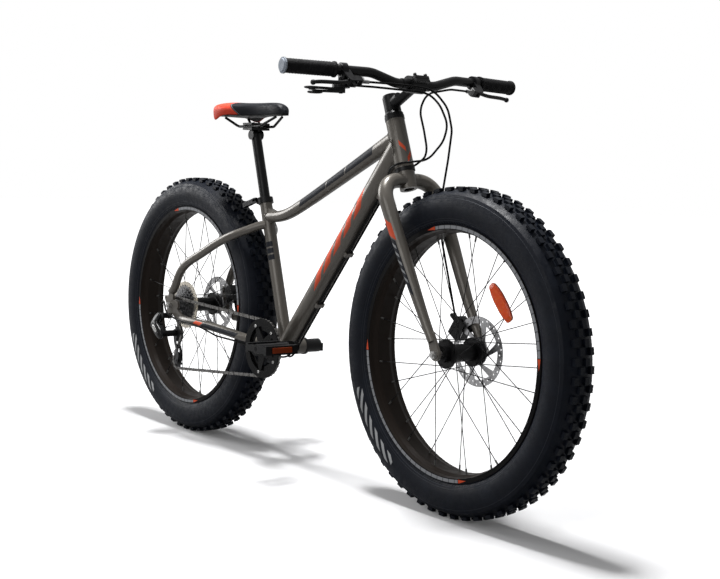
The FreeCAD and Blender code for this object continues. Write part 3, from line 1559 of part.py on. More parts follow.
def cage():
    """Two plates with a bolt through each pulley; the upper bolt runs on into the knuckle."""
    inner = CAGE_OUT + s.cage_thickness + s.cage_gap
    pieces = []
    for name, base in (("outer", CAGE_OUT), ("inner", inner)):
        shift = SIDE * base
        ends = ("cage_end_diameter", "cage_end_diameter", "cage_thickness")
        pieces.append(strap("cage_plate_" + name, GUIDE_PULLEY + shift, TENSION_PULLEY + shift, *ends, SIDE))
    start = SIDE * (inner + s.cage_thickness)
    span = "2 * cage_thickness + cage_gap"
    upper = span + " + knuckle_diameter - 2 * side_clearance"
    pieces.append(cylinder("cage_bolt_upper", "cage_bolt_diameter", upper, GUIDE_PULLEY + start, SIDE * -1))
    pieces.append(cylinder("cage_bolt_lower", "cage_bolt_diameter", span, TENSION_PULLEY + start, SIDE * -1))
    node("derailleur_cage", fuse("derailleur_cage", *pieces))


# Disc brakes

BRAKES = {
    "front": SimpleNamespace(
        axle=FRONT_AXLE, angle=146, rotor=FRONT_HUB_START + s.front_rotor_seat, arm=195, stop=103
    ),
    "rear": SimpleNamespace(axle=REAR_AXLE, angle=25, rotor=REAR_HUB_START + s.rear_rotor_seat, arm=80, stop=-8),
}
for brake in BRAKES.values():
    brake.rotor += s.rotor_thickness / 2
    brake.out = polar(1, brake.angle)
    brake.face = brake.rotor + s.caliper_width - s.caliper_inside
    brake.pivot = brake.axle + brake.out * (s.rotor_diameter / 2) + SIDE * (brake.face + s.side_clearance)
    brake.tip = brake.pivot + polar(s.brake_arm_length, brake.arm)
    brake.lead = polar(1, brake.stop)
    brake.stop = brake.tip + brake.lead * s.cable_stop_distance + SIDE * (s.brake_arm_thickness / 2)


def caliper(prefix, anchor, *tools):
    """A caliper over the edge of the rotor, with two pads, a bracket and a pivot for its arm."""
    brake = BRAKES[prefix]
    label = prefix + "_brake_caliper"
    middle = brake.axle + brake.out * (s.rotor_diameter / 2) + SIDE * brake.rotor
    shift = SIDE * (s.caliper_width / 2 - s.caliper_inside)
    place = framed(middle + shift, brake.out, SIDE)
    block = box(label + "_block", "caliper_depth", "caliper_length", "caliper_width", place)
    sunk = framed(middle - brake.out * s.caliper_depth / 2, brake.out, SIDE)
    slot = box(label + "_slot", "caliper_depth * 1.4", "caliper_length * 1.1", "caliper_slot", sunk)
    base = SIDE * (brake.face - s.bracket_thickness)
    hold = strap(
        label + "_bracket", brake.axle + brake.out * (s.rotor_diameter / 2) + base, anchor + base,
        "caliper_depth * 0.7", "bracket_diameter", "bracket_thickness", SIDE,
    )
    pin_length = "brake_arm_thickness + side_clearance + bracket_thickness"
    pin_start = brake.pivot - SIDE * (s.side_clearance + s.bracket_thickness)
    pin = cylinder(label + "_pin", "brake_pin_diameter", pin_length, pin_start, SIDE)
    stop_foot = Vector(brake.stop.x, 0, brake.stop.z) + base
    ends = ("caliper_depth * 0.5", "bracket_diameter * 0.6", "bracket_thickness")
    stay = strap(label + "_stop_stay", Vector(brake.pivot.x, 0, brake.pivot.z) + base, stop_foot, *ends, SIDE)
    stop_start = brake.stop - brake.lead * (s.barrel_length / 4)
    stop = cylinder(label + "_stop", "barrel_adjuster_diameter", "barrel_length / 2", stop_start, brake.lead)
    body = cut(label + "_body", fuse(label + "_blank", block, hold, pin, stay, stop), slot, *tools)
    pads = []
    for name, side in SIDES:
        offset = side * (s.caliper_slot - s.brake_pad_thickness) / 2
        spot = framed(middle + SIDE * offset - brake.out * s.caliper_depth * 0.22, brake.out, SIDE)
        sizes_used = ("caliper_depth * 0.5", "caliper_length * 0.55", "brake_pad_thickness")
        pads.append(box("%s_pad_%s" % (label, name), *sizes_used, spot))
    node(label, compound(label, body, *pads))


def brake_arm(prefix):
    """The arm that the cable pulls round its pivot on the caliper."""
    brake = BRAKES[prefix]
    label = prefix + "_brake_arm"
    ends = ("brake_pin_diameter * 2.6", "brake_pin_diameter * 1.7", "brake_arm_thickness")
    bar = strap(label + "_bar", brake.pivot, brake.tip, *ends, SIDE)
    bore = "brake_pin_diameter + 2 * running_clearance"
    hole = cylinder(label + "_bore", bore, "brake_arm_thickness", brake.pivot, SIDE)
    node(label, cut(label, bar, hole))


# Levers on the handlebar


def lever_frame(side):
    """At one end of the bar: outwards along it, forwards, the levers' reach, and across the lever."""
    out = bar_way(side)
    fore = Vector(math.cos(SWEEP), side * math.sin(SWEEP), 0)
    tilt = math.radians(s.lever_tilt)
    reach = fore * math.cos(tilt) - UP * math.sin(tilt)
    return out, fore, reach, out.cross(reach)


def perch_centre(side):
    return bar_point(side, GRIP_IN - s.perch_gap)


def lever_pivot(side):
    out, _, reach, _ = lever_frame(side)
    return perch_centre(side) + reach * s.lever_pivot_offset - out * s.lever_pivot_inset


def barrel_end(side):
    """Where the brake cable leaves the lever's barrel adjuster."""
    return lever_pivot(side) - lever_frame(side)[0] * (s.perch_slot + s.barrel_length)


def perch(name, side):
    """A clamp on the bar, a fork for the lever and a barrel adjuster for the cable."""
    out, _, reach, across = lever_frame(side)
    centre = perch_centre(side)
    pivot = lever_pivot(side)
    half = across * (s.perch_thickness / 2)
    clamp = cylinder(
        "perch_clamp_" + name, "lever_clamp_diameter", "lever_clamp_width",
        centre - out * s.lever_clamp_width / 2, out,
    )
    thick = "perch_thickness"
    end = "perch_end_diameter"
    body = strap("perch_body_" + name, centre - half, pivot - half, end + " * 1.4", end, thick, across)
    nose_end = pivot - out * (s.perch_slot * 0.9) - half
    nose = strap("perch_nose_" + name, pivot - half, nose_end, end, end + " * 0.9", thick, across)
    room = "lever_thickness + 2 * side_clearance"
    gap = (s.lever_thickness + 2 * s.side_clearance) / 2
    slot = cylinder("perch_slot_" + name, "perch_slot * 1.3", room, pivot - across * gap, across)
    hole_start = centre - out * s.lever_clamp_width
    hole = cylinder("perch_hole_" + name, "bar_diameter", "3 * lever_clamp_width", hole_start, out)
    barrel = cylinder(
        "barrel_" + name, "barrel_adjuster_diameter", "barrel_length", pivot - out * s.perch_slot, out * -1
    )
    pin = cylinder("lever_pin_" + name, "lever_pin_diameter", thick, pivot - half, across)
    bored = cut("perch_bored_" + name, fuse("perch_blank_" + name, clamp, body, nose, barrel), slot, hole)
    return fuse("perch_" + name, bored, pin)


def brake_lever(label, side):
    """A two-finger blade with a ball end, turning on the perch's pin."""
    out, _, reach, across = lever_frame(side)
    pivot = lever_pivot(side)
    half = across * (s.lever_thickness / 2)
    boss = cylinder(label + "_boss", "perch_end_diameter - 1", "lever_thickness", pivot - half, across)
    blade = "lever_thickness * 0.8"
    tip = pivot + out * s.lever_length + reach * (s.lever_length * 0.15)
    stations = [(pivot + out * 2, blade)]
    for share, lift in ((0.22, 0.075), (0.5, 0.1), (0.78, 0.11)):
        stations.append((pivot + out * (s.lever_length * share) + reach * (s.lever_length * lift), blade))
    stations.append((tip, blade + " * 0.9"))
    ball = part("Sphere", label + "_ball", Placement(tip, Rotation()), Radius="lever_thickness * 0.55")
    blank = fuse(label + "_blank", boss, tube(label + "_blade", stations, across), ball)
    bore = "lever_pin_diameter + 2 * running_clearance"
    hole = cylinder(label + "_bore", bore, "2 * lever_thickness", pivot - half * 2, across)
    node(label, cut(label, blank, hole))


POD_TOP = perch_centre(-1) - lever_frame(-1)[1] * s.pod_setback - UP * s.pod_drop
POD_LOW = POD_TOP - UP * s.pod_height


def shifter_pod():
    """The shifter's housing under the right-hand clamp, with the pin that both levers turn on."""
    out = lever_frame(-1)[0]
    body = cylinder("pod_body", "pod_diameter", "pod_height", POD_TOP, UP * -1)
    neck = cylinder("pod_neck", "lever_clamp_width", "pod_drop - bar_diameter * 0.6", POD_TOP, UP)
    pin = cylinder("pod_pin", "pod_pin_diameter", "2.5 * shift_lever_thickness", POD_LOW, UP * -1)
    middle = POD_TOP - UP * s.pod_height / 2
    barrel_start = middle - out * s.pod_diameter * 0.4
    barrel = cylinder("pod_barrel", "barrel_adjuster_diameter", "barrel_length", barrel_start, out * -1)
    return fuse("shifter_pod", body, neck, pin, barrel)


def shift_lever(label, level, length, angle):
    """A thumb lever under the pod, with a round pad at its end."""
    top = POD_LOW - UP * (s.side_clearance + level * (s.shift_lever_thickness + s.side_clearance))
    low = top - UP * s.shift_lever_thickness
    way = Rotation(UP, angle).multVec(lever_frame(-1)[0])
    end = low + way * length
    ends = ("pod_diameter / 2", "shift_knob_diameter * 0.8", "shift_lever_thickness")
    bar = strap(label + "_bar", low, end, *ends, UP)
    knob_height = "shift_lever_thickness * 1.6"
    pad_place = end + UP * s.shift_lever_thickness
    pad = cylinder(label + "_pad", "shift_knob_diameter", knob_height, pad_place, UP * -1)
    bore = "pod_pin_diameter + 2 * running_clearance"
    hole = cylinder(label + "_bore", bore, "shift_lever_thickness", low, UP)
    node(label, cut(label, fuse(label + "_blank", bar, pad), hole))


def controls():
    right = fuse("perch_with_pod", perch("right", -1), shifter_pod())
    pod_hole_start = perch_centre(-1) - bar_way(-1) * s.pod_diameter
    bar_hole = cylinder("pod_bar_hole", "bar_diameter", "2 * pod_diameter", pod_hole_start, bar_way(-1))
    node("brake_perches", compound("brake_perches", cut("perch_right_bored", right, bar_hole), perch("left", 1)))
    brake_lever("brake_lever_right", -1)
    brake_lever("brake_lever_left", 1)
    shift_lever("shift_lever_upper", 0, s.shift_lever_length, 0)
    shift_lever("shift_lever_lower", 1, s.shift_lever_length * 0.8, -22)


# Seat

POST_HEAD = SEAT_TOP + SEAT_WAY * s.seatpost_height
RAIL_LEVEL = POST_HEAD.z + s.post_head_diameter / 2 + s.clamp_plate + s.rail_diameter / 2
BASE_LOW = RAIL_LEVEL + s.rail_height
SADDLE_LOW = BASE_LOW + s.saddle_base_thickness
SADDLE_TAIL = POST_HEAD.x - s.saddle_length * 0.49
LEVER_PIN = SEAT_TOP - SEAT_WAY * (s.collar_height / 2) + Vector(-s.collar_diameter / 2 - s.ear_length / 2, 0, 0)
CAM = LEVER_PIN - SIDE * (s.ear_out + s.side_clearance + s.cam_diameter / 2)


def seatpost():
    """A tube that slides in the seat tube, with a cross head for the clamp."""
    length = "seatpost_insertion + seatpost_height"
    start = SEAT_TOP - SEAT_WAY * s.seatpost_insertion
    post = cylinder("post_fill", "seatpost_diameter", length, start, SEAT_WAY)
    bore = cylinder("post_hollow", "seatpost_diameter - 2 * seatpost_wall", length + " - 20", start, SEAT_WAY)
    head_start = POST_HEAD - SIDE * s.post_head_width / 2
    head = cylinder("post_head", "post_head_diameter", "post_head_width", head_start, SIDE)
    node("seatpost", fuse("seatpost", cut("post_tube", post, bore), head))


def seat_clamp():
    """A plate under the rails and one over them, drawn together by two bolts."""
    middle = Vector(POST_HEAD.x, 0, RAIL_LEVEL)
    gap = (s.rail_diameter + s.clamp_plate) / 2
    plates = []
    for name, way in (("low", -1), ("high", 1)):
        place = Placement(middle + UP * way * gap, Rotation())
        wide = "2 * rail_spread + 2 * rail_diameter"
        plates.append(box("clamp_plate_" + name, "clamp_plate_length", wide, "clamp_plate", place))
    bolts = []
    for n, way in enumerate((-1, 1)):
        low = middle + FORE * way * s.clamp_plate_length * 0.3 - UP * (gap + s.clamp_plate)
        bolts.append(cylinder("clamp_plate_bolt_%d" % n, "clamp_plate", "rail_diameter + 3 * clamp_plate", low, UP))
    node("saddle_clamp", fuse("saddle_clamp", *plates, *bolts))


def saddle_rails():
    """Two bent bars that hang under the saddle's base."""
    rails = []
    top = BASE_LOW - s.rail_diameter * 0.55
    for name, side in SIDES:
        points = [
            Vector(SADDLE_TAIL + s.saddle_length * 0.14, side * s.rail_spread * 1.7, top),
            Vector(SADDLE_TAIL + s.saddle_length * 0.3, side * s.rail_spread, RAIL_LEVEL),
            Vector(SADDLE_TAIL + s.saddle_length * 0.68, side * s.rail_spread, RAIL_LEVEL),
            Vector(SADDLE_TAIL + s.saddle_length * 0.88, side * s.rail_spread * 0.45, top),
        ]
        rails.append(swept("rail_" + name, points, s.rail_height, "rail_diameter"))
    node("saddle_rails", compound("saddle_rails", *rails))


SADDLE_PLAN = (
    (0, 0.44, 0.5),
    (0.03, 0.7, 0.74),
    (0.09, 0.92, 0.95),
    (0.19, 1, 1),
    (0.31, 0.93, 0.97),
    (0.46, 0.64, 0.92),
    (0.6, 0.42, 0.9),
    (0.78, 0.3, 0.9),
    (0.92, 0.25, 0.84),
    (0.98, 0.18, 0.7),
    (1, 0.1, 0.5),
)


def saddle_section(along_share, width_share, height_share):
    """The cover's section: flat under, drawn-in sides and a crowned top."""
    x = SADDLE_TAIL + s.saddle_length * along_share
    half = s.saddle_width / 2 * width_share
    height = s.saddle_thickness * height_share

    def spot(side, rise):
        return Vector(x, half * side, SADDLE_LOW + height * rise)

    edges = [
        Part.LineSegment(spot(-0.86, 0), spot(0.86, 0)),
        Part.Arc(spot(0.86, 0), spot(1, 0.42), spot(0.84, 0.8)),
        Part.Arc(spot(0.84, 0.8), spot(0, 1), spot(-0.84, 0.8)),
        Part.Arc(spot(-0.84, 0.8), spot(-1, 0.42), spot(-0.86, 0)),
    ]
    return Part.Wire([edge.toShape() for edge in edges])


def base_section(along_share, width_share):
    """The base's section, a little narrower than the cover above it."""
    x = SADDLE_TAIL + s.saddle_length * along_share
    half = s.saddle_width / 2 * width_share * 0.84
    corners = [
        Vector(x, -half, BASE_LOW),
        Vector(x, half, BASE_LOW),
        Vector(x, half, SADDLE_LOW),
        Vector(x, -half, SADDLE_LOW),
    ]
    return Part.makePolygon(corners + corners[:1])


def saddle():
    cover = Part.makeLoft([saddle_section(*row) for row in SADDLE_PLAN], True)
    node("saddle_cover", solid("saddle_cover", cover))
    base = Part.makeLoft([base_section(*row[:2]) for row in SADDLE_PLAN[1:-1]], True)
    node("saddle_base", solid("saddle_base", base))


def seat_collar():
    """A split collar round the top of the seat tube, with the skewer that closes it."""
    start = SEAT_TOP - SEAT_WAY * s.collar_height
    pieces = [cylinder("collar_band", "collar_diameter", "collar_height", start, SEAT_WAY)]
    for name, side in SIDES:
        ear_place = framed(LEVER_PIN + SIDE * side * s.ear_out * 0.65 + FORE * s.ear_length * 0.3, FORE, SEAT_WAY)
        pieces.append(box("collar_ear_" + name, "ear_length * 1.6", "ear_out * 0.7", "collar_height", ear_place))
    nut = cylinder("collar_nut", "cam_diameter", "cam_diameter / 2", LEVER_PIN + SIDE * s.ear_out, SIDE)
    skewer = cylinder("collar_skewer", "lever_pin_diameter", "collar_diameter", CAM, SIDE)
    bind(skewer, "Height", "ear_out * 2 + side_clearance + cam_diameter / 2")
    pin_start = CAM - SEAT_WAY * s.cam_height / 2
    pin = cylinder("collar_pin", "cam_pin_diameter", "cam_height", pin_start, SEAT_WAY)
    hole_start = SEAT_TOP - SEAT_WAY * 2 * s.collar_height
    hole = cylinder("collar_bore", "seat_tube_diameter", "4 * collar_height", hole_start, SEAT_WAY)
    blank = fuse("collar_blank", *pieces, nut, skewer, pin)
    node("seat_collar", cut("seat_collar", blank, hole))


def seat_lever():
    """The quick-release lever: two cam discs on the pin, joined by the lever's arm."""
    base = CAM - SEAT_WAY * s.cam_height / 2
    disc = cylinder("cam_disc", "cam_diameter", "cam_height", base, SEAT_WAY)
    end = base + Rotation(SEAT_WAY, 4).multVec(SEAT_WAY.cross(SIDE)) * s.seat_lever_length
    arm = strap("seat_lever_arm", base, end, "cam_diameter * 0.8", "cam_diameter", "cam_height", SEAT_WAY)
    slot_start = CAM - SEAT_WAY * s.cam_height / 4
    slot = cylinder("cam_slot", "cam_diameter * 1.3", "cam_height / 2", slot_start, SEAT_WAY)
    bore = cylinder("cam_bore", "cam_pin_diameter + 2 * running_clearance", "cam_height", base, SEAT_WAY)
    node("seat_lever", cut("seat_lever", fuse("seat_lever_blank", disc, arm), slot, bore))


# Brake and shift cables, held along their whole length


def cable_end(brake):
    """The two points that lead a brake cable into its stop on the caliper."""
    end = brake.stop + brake.lead * (s.barrel_length / 4 + s.side_clearance)
    return [end + brake.lead * s.cable_bend_radius * 0.9 - SIDE * 4, end]


def guided_run(side):
    """Past the head tube, along the saddles under the down tube, and under the crank shell."""
    down_way = (steer(HEAD_LOW + s.down_tube_height_at_head) - CRANK_AXIS).normalize()
    under = Vector(down_way.z, 0, -down_way.x)
    line = CRANK_AXIS + under * cable_out() + SIDE * side * s.guide_width / 4
    reach = (steer(HEAD_LOW) - CRANK_AXIS).Length
    wide = s.head_tube_diameter / 2 + s.cable_diameter * 1.5
    below = s.bottom_bracket_diameter / 2 + s.cable_diameter * 1.6
    return [
        steer(HEAD_LOW + 8, 10, side * wide),
        steer(HEAD_LOW + 6, -26, side * (wide - 4)),
        line + down_way * (reach * 0.91),
        line - down_way * s.cable_diameter,
        CRANK_AXIS + Vector(-10, side * s.guide_width / 2, -below),
    ]


def along_chainstay(side):
    """Under the chainstay past the crank, then out to its far side."""
    stations = [centre for centre, _ in chainstay_stations(SIDE * side)]
    gap = (s.stay_diameter + s.cable_diameter) / 2 + s.side_clearance
    return [
        stations[1] - UP * (gap + s.stay_wall),
        stations[2] - UP * (gap + s.stay_wall),
        stations[3] + Vector(0, side * 6, -gap - 5),
        (stations[3] + stations[4]) * 0.5 + Vector(2, side * (gap + 3), -5),
    ]


def front_brake_cable():
    """From the right-hand lever, round in front of the stem and down behind the left blade."""
    brake = BRAKES["front"]
    inward = bar_way(-1) * -1
    start = barrel_end(-1) + inward * s.side_clearance
    points = [
        start,
        start + inward * 48,
        BAR + Vector(39, -30, -7),
        BAR + Vector(44, 20, -12),
        BAR + Vector(55, 55, -51),
        BAR + Vector(61, 65, -101),
        BAR + Vector(48, 68, -170),
        steer(CROWN_MIDDLE - 35, 42, s.blade_spread - 14),
        steer(CROWN_MIDDLE - 123, 19, s.blade_spread - 21),
        steer(CROWN_MIDDLE - 150, 12, s.blade_spread - 22),
    ]
    cable = swept("front_brake_cable", points + cable_end(brake), s.cable_bend_radius, "cable_diameter")
    node("front_brake_cable", cable)


def rear_brake_cable():
    """From the left-hand lever, under the frame and out to the rear caliper."""
    brake = BRAKES["rear"]
    inward = bar_way(1) * -1
    start = barrel_end(1) + inward * s.side_clearance
    points = [
        start,
        start + inward * 60,
        BAR + Vector(20, 20, -19),
        BAR + Vector(12, 6, -57),
        BAR + Vector(28, 8, -103),
        BAR + Vector(34, 18, -160),
    ]
    points += guided_run(1) + along_chainstay(1)
    lead_in, end = cable_end(brake)
    points += [lead_in + Vector(s.cable_bend_radius * 0.4, 6, -s.cable_bend_radius * 0.75), lead_in, end]
    return swept("rear_brake_cable", points, s.cable_bend_radius, "cable_diameter")


def shift_cable():
    """From the shifter, under the frame and round a loop to the derailleur's mount."""
    inward = bar_way(-1) * -1
    start = POD_TOP - UP * s.pod_height / 2 + inward * (s.pod_diameter * 0.4 + s.barrel_length + s.side_clearance)
    points = [
        start,
        start + inward * 48,
        BAR + Vector(28, -22, -17),
        BAR + Vector(36, 14, -21),
        BAR + Vector(50, 35, -45),
        BAR + Vector(69, 45, -90),
        BAR + Vector(60, 40, -129),
        BAR + Vector(38, 15, -172),
        BAR + Vector(12, -16, -177),
    ]
    points += guided_run(-1) + along_chainstay(-1)
    beside = (s.stay_diameter + s.cable_diameter) / 2 + 1.5 * s.stay_wall
    outer = DROPOUT_OUT - s.derailleur_link_spacing
    foot = HANGER + Vector(-7.5, outer - 5, s.derailleur_block * 0.35 + 2 * s.side_clearance)
    points += [
        CHAINSTAY_END + Vector(79, -STAY_OUT - beside, -2),
        CHAINSTAY_END - SIDE * (STAY_OUT + beside),
        CHAINSTAY_END + Vector(-42, -STAY_OUT - beside - 9, 14),
        HANGER + Vector(-2, outer - 3, 44),
        HANGER + Vector(-14, outer - 4, 34),
        foot,
    ]
    return swept("shift_cable", points, s.cable_bend_radius, "cable_diameter")


def finish():
    """Recompute, test every object, and write one file for each sub-part."""
    doc.recompute()
    for item in doc.Objects:
        if "Invalid" in item.State or "Error" in item.State:
            raise RuntimeError("%s did not build: %s" % (item.Label, item.State))
    os.makedirs("parts", exist_ok=True)
    for label, item in nodes.items():
        if item.Shape.isNull() or not item.Shape.isValid() or not item.Shape.Solids:
            raise RuntimeError("%s is not a sound solid" % label)
        item.Shape.exportStep("parts/%s.step" % label)


rear_stays(*main_frame())
headset()
fork()
stem()
headset_cover()
handlebar()
grips()
wheels()
PHASES = roller_places()[1]
chain()
cassette(PHASES[3])
spoke_guard()
bottom_bracket_cups()
cranks()
chainring(PHASES[0])
pedal("pedal_right", -1)
pedal("pedal_left", 1)
derailleur()
caliper("front", steer(56, s.fork_rake - 7), doc.getObject("blade_bare_left_outer"))
caliper(
    "rear", CHAINSTAY_END + Vector(28, 0, 0), doc.getObject("chainstay_bare_left_outer"), doc.getObject("dropout_left")
)
brake_arm("front")
brake_arm("rear")
controls()
seatpost()
seat_clamp()
saddle_rails()
saddle()
seat_collar()
seat_lever()
front_brake_cable()
node("frame_cables", compound("frame_cables", rear_brake_cable(), shift_cable()))
finish()
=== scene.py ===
# %% [markdown]
# # Dressing a fat tire bike
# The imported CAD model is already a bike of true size, with every joint in place. This lesson
# gives it paint, rubber, metal and light. Each step says what the real piece is, how it could
# be made, and why it is made this way.

# %% Load the frame
import math

import bmesh
import bpy
from mathutils import Matrix, Vector


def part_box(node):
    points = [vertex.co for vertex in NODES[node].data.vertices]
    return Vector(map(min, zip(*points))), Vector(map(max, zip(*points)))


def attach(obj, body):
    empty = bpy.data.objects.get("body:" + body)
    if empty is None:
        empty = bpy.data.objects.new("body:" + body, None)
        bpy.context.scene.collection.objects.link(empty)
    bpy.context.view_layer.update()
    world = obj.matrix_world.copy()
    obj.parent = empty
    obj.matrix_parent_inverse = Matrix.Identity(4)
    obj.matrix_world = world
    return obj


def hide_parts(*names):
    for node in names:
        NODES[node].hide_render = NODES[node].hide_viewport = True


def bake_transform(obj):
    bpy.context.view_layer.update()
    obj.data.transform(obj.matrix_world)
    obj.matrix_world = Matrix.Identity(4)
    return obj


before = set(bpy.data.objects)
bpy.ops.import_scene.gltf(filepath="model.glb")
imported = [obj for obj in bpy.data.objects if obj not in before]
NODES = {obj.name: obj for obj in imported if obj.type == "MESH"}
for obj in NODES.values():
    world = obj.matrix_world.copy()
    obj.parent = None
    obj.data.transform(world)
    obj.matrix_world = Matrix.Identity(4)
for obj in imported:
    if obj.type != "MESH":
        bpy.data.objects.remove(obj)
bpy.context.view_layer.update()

# %% [markdown]
# ## Camera
# The picture was taken from ahead of the bike, on its right-hand side and a little above the
# hubs. A look-at constraint would do, but it has no roll, so the camera's three axes are
# written out from an azimuth, an elevation and a small roll.

# %% Camera
def photo_camera(place, azimuth, elevation, roll, lens):
    az, el, turn = (math.radians(a) for a in (azimuth, elevation, roll))
    right = Vector((math.cos(az), math.sin(az), 0))
    back = Vector((math.sin(az) * math.cos(el), -math.cos(az) * math.cos(el), math.sin(el)))
    up = back.cross(right)
    across = right * math.cos(turn) + up * math.sin(turn)
    upward = up * math.cos(turn) - right * math.sin(turn)
    data = bpy.data.cameras.new("photo_camera")
    data.lens = lens
    data.sensor_width = 36
    data.sensor_fit = "HORIZONTAL"
    camera = bpy.data.objects.new("photo_camera", data)
    axes = Matrix((across, upward, back)).transposed().to_4x4()
    camera.matrix_world = Matrix.Translation(place) @ axes
    bpy.context.collection.objects.link(camera)
    bpy.context.scene.camera = camera
    return camera


camera = photo_camera(
    place=(2.61554, -1.90242, 0.74039), azimuth=51.78, elevation=4.84, roll=1.90, lens=63.014
)
print("camera at", [round(c, 2) for c in camera.location])

# %% [markdown]
# ## Wiring nodes
# Materials and effects below are node trees. Small helpers keep them readable: they set or
# link a socket, add a maths or vector node, make a soft step or a band, mix two colours, and
# take a place apart.

# %% Node helpers
def feed(tree, socket, value):
    if isinstance(value, bpy.types.NodeSocket):
        tree.links.new(value, socket)
    else:
        socket.default_value = value


def maths(tree, operation, *values):
    node = tree.nodes.new("ShaderNodeMath")
    node.operation = operation
    for socket, value in zip(node.inputs, values):
        feed(tree, socket, value)
    return node.outputs[0]


def times(tree, first, second):
    return maths(tree, "MULTIPLY", first, second)


def vectors(tree, operation, *values):
    node = tree.nodes.new("ShaderNodeVectorMath")
    node.operation = operation
    for socket, value in zip(node.inputs, values):
        feed(tree, socket, value)
    return node.outputs["Value" if operation in ("DOT_PRODUCT", "LENGTH") else "Vector"]


def step(tree, value, low, high):
    """0 below low, 1 above high, smooth between; high under low turns it round."""
    node = tree.nodes.new("ShaderNodeMapRange")
    node.interpolation_type = "SMOOTHSTEP"
    feed(tree, node.inputs["Value"], value)
    ends = (min(low, high), max(low, high), float(low >= high), float(low < high))
    for socket, end in zip(("From Min", "From Max", "To Min", "To Max"), ends):
        node.inputs[socket].default_value = end
    return node.outputs["Result"]


def between(tree, value, low, high, soft):
    rise = step(tree, value, low - soft, low + soft)
    return times(tree, rise, step(tree, value, high + soft, high - soft))


def noise(tree, place, scale, detail=3.0, stretch=None):
    if stretch:
        place = vectors(tree, "MULTIPLY", place, stretch)
    node = tree.nodes.new("ShaderNodeTexNoise")
    feed(tree, node.inputs["Vector"], place)
    feed(tree, node.inputs["Scale"], scale)
    node.inputs["Detail"].default_value = detail
    return node.outputs["Fac"]


def blended(tree, mask, under, over):
    node = tree.nodes.new("ShaderNodeMix")
    node.data_type = "RGBA"
    feed(tree, node.inputs[0], mask)
    feed(tree, node.inputs[6], under)
    feed(tree, node.inputs[7], over)
    return node.outputs[2]


def rgba(colour):
    return (*colour, 1.0)


def along_axes(tree, place):
    """The x, y and z of a place."""
    split = tree.nodes.new("ShaderNodeSeparateXYZ")
    tree.links.new(place, split.inputs[0])
    return split.outputs

# %% [markdown]
# ## Effects that several finishes share
# Three shader groups. **Handling wear** spreads a second colour in soft patches, varies the
# gloss and gives a fine grain. **Tube panel** marks a patch on a tube by its length along the
# axis and its angle round it, which is how a decal is laid. **Wheel polar** turns a place on a
# wheel into a radius and a share of a turn, so that bands and marks follow the rim.

# %% Shader groups
def start_group(name, inputs, outputs):
    tree = bpy.data.node_groups.new(name, "ShaderNodeTree")
    kinds = {"v": "NodeSocketVector", "f": "NodeSocketFloat", "c": "NodeSocketColor"}
    for label, kind in inputs:
        tree.interface.new_socket(name=label, in_out="INPUT", socket_type=kinds[kind])
    for label, kind in outputs:
        tree.interface.new_socket(name=label, in_out="OUTPUT", socket_type=kinds[kind])
    return tree, tree.nodes.new("NodeGroupInput").outputs, tree.nodes.new("NodeGroupOutput").inputs


def handling_wear():
    inputs = [("Place", "v"), ("Scale", "f"), ("Colour", "c"), ("Worn", "c"), ("Amount", "f")]
    inputs += [("Smooth", "f"), ("Rough", "f"), ("Grain", "f")]
    outputs = [("Colour", "c"), ("Roughness", "f"), ("Height", "f")]
    tree, given, out = start_group("handling_wear", inputs, outputs)
    patches = noise(tree, given["Place"], given["Scale"], 5)
    mask = times(tree, step(tree, patches, 0.42, 0.68), given["Amount"])
    tree.links.new(blended(tree, mask, given["Colour"], given["Worn"]), out["Colour"])
    spread = maths(tree, "SUBTRACT", given["Rough"], given["Smooth"])
    share = step(tree, noise(tree, given["Place"], times(tree, given["Scale"], 3.1)), 0.3, 0.7)
    tree.links.new(maths(tree, "MULTIPLY_ADD", share, spread, given["Smooth"]), out["Roughness"])
    tree.links.new(noise(tree, given["Place"], given["Grain"], 2), out["Height"])
    return tree


def tube_panel():
    inputs = [("Place", "v"), ("Start", "v"), ("Along", "v"), ("Up", "v"), ("Side", "v"), ("From", "f")]
    inputs += [("To", "f"), ("Turn From", "f"), ("Turn To", "f"), ("Slant", "f")]
    tree, given, out = start_group("tube_panel", inputs, [("Mask", "f")])
    out_from = vectors(tree, "SUBTRACT", given["Place"], given["Start"])
    rise = vectors(tree, "DOT_PRODUCT", out_from, given["Up"])
    turn = maths(tree, "ARCTAN2", vectors(tree, "DOT_PRODUCT", out_from, given["Side"]), rise)
    length = vectors(tree, "DOT_PRODUCT", out_from, given["Along"])
    length = maths(tree, "MULTIPLY_ADD", turn, given["Slant"], length)
    mask = None
    for value, low, high, soft in ((length, "From", "To", 0.0006), (turn, "Turn From", "Turn To", 0.03)):
        rise = step(tree, maths(tree, "SUBTRACT", value, given[low]), -soft, soft)
        fall = step(tree, maths(tree, "SUBTRACT", given[high], value), -soft, soft)
        band = times(tree, rise, fall)
        mask = band if mask is None else times(tree, mask, band)
    tree.links.new(mask, out["Mask"])
    return tree


def wheel_polar():
    outputs = [("Radius", "f"), ("Turn", "f"), ("Out", "f")]
    tree, given, out = start_group("wheel_polar", [("Place", "v"), ("Axle", "v")], outputs)
    x, y, z = along_axes(tree, vectors(tree, "SUBTRACT", given["Place"], given["Axle"]))
    square = maths(tree, "ADD", times(tree, x, x), times(tree, z, z))
    tree.links.new(maths(tree, "SQRT", square), out["Radius"])
    turn = maths(tree, "DIVIDE", maths(tree, "ARCTAN2", x, z), 2 * math.pi)
    tree.links.new(maths(tree, "FRACT", turn), out["Turn"])
    tree.links.new(y, out["Out"])
    return tree


WEAR, PANEL, POLAR = handling_wear(), tube_panel(), wheel_polar()


def use(tree, group, **values):
    node = tree.nodes.new("ShaderNodeGroup")
    node.node_tree = group
    for name, value in values.items():
        feed(tree, node.inputs[name.replace("_", " ")], value)
    return node.outputs


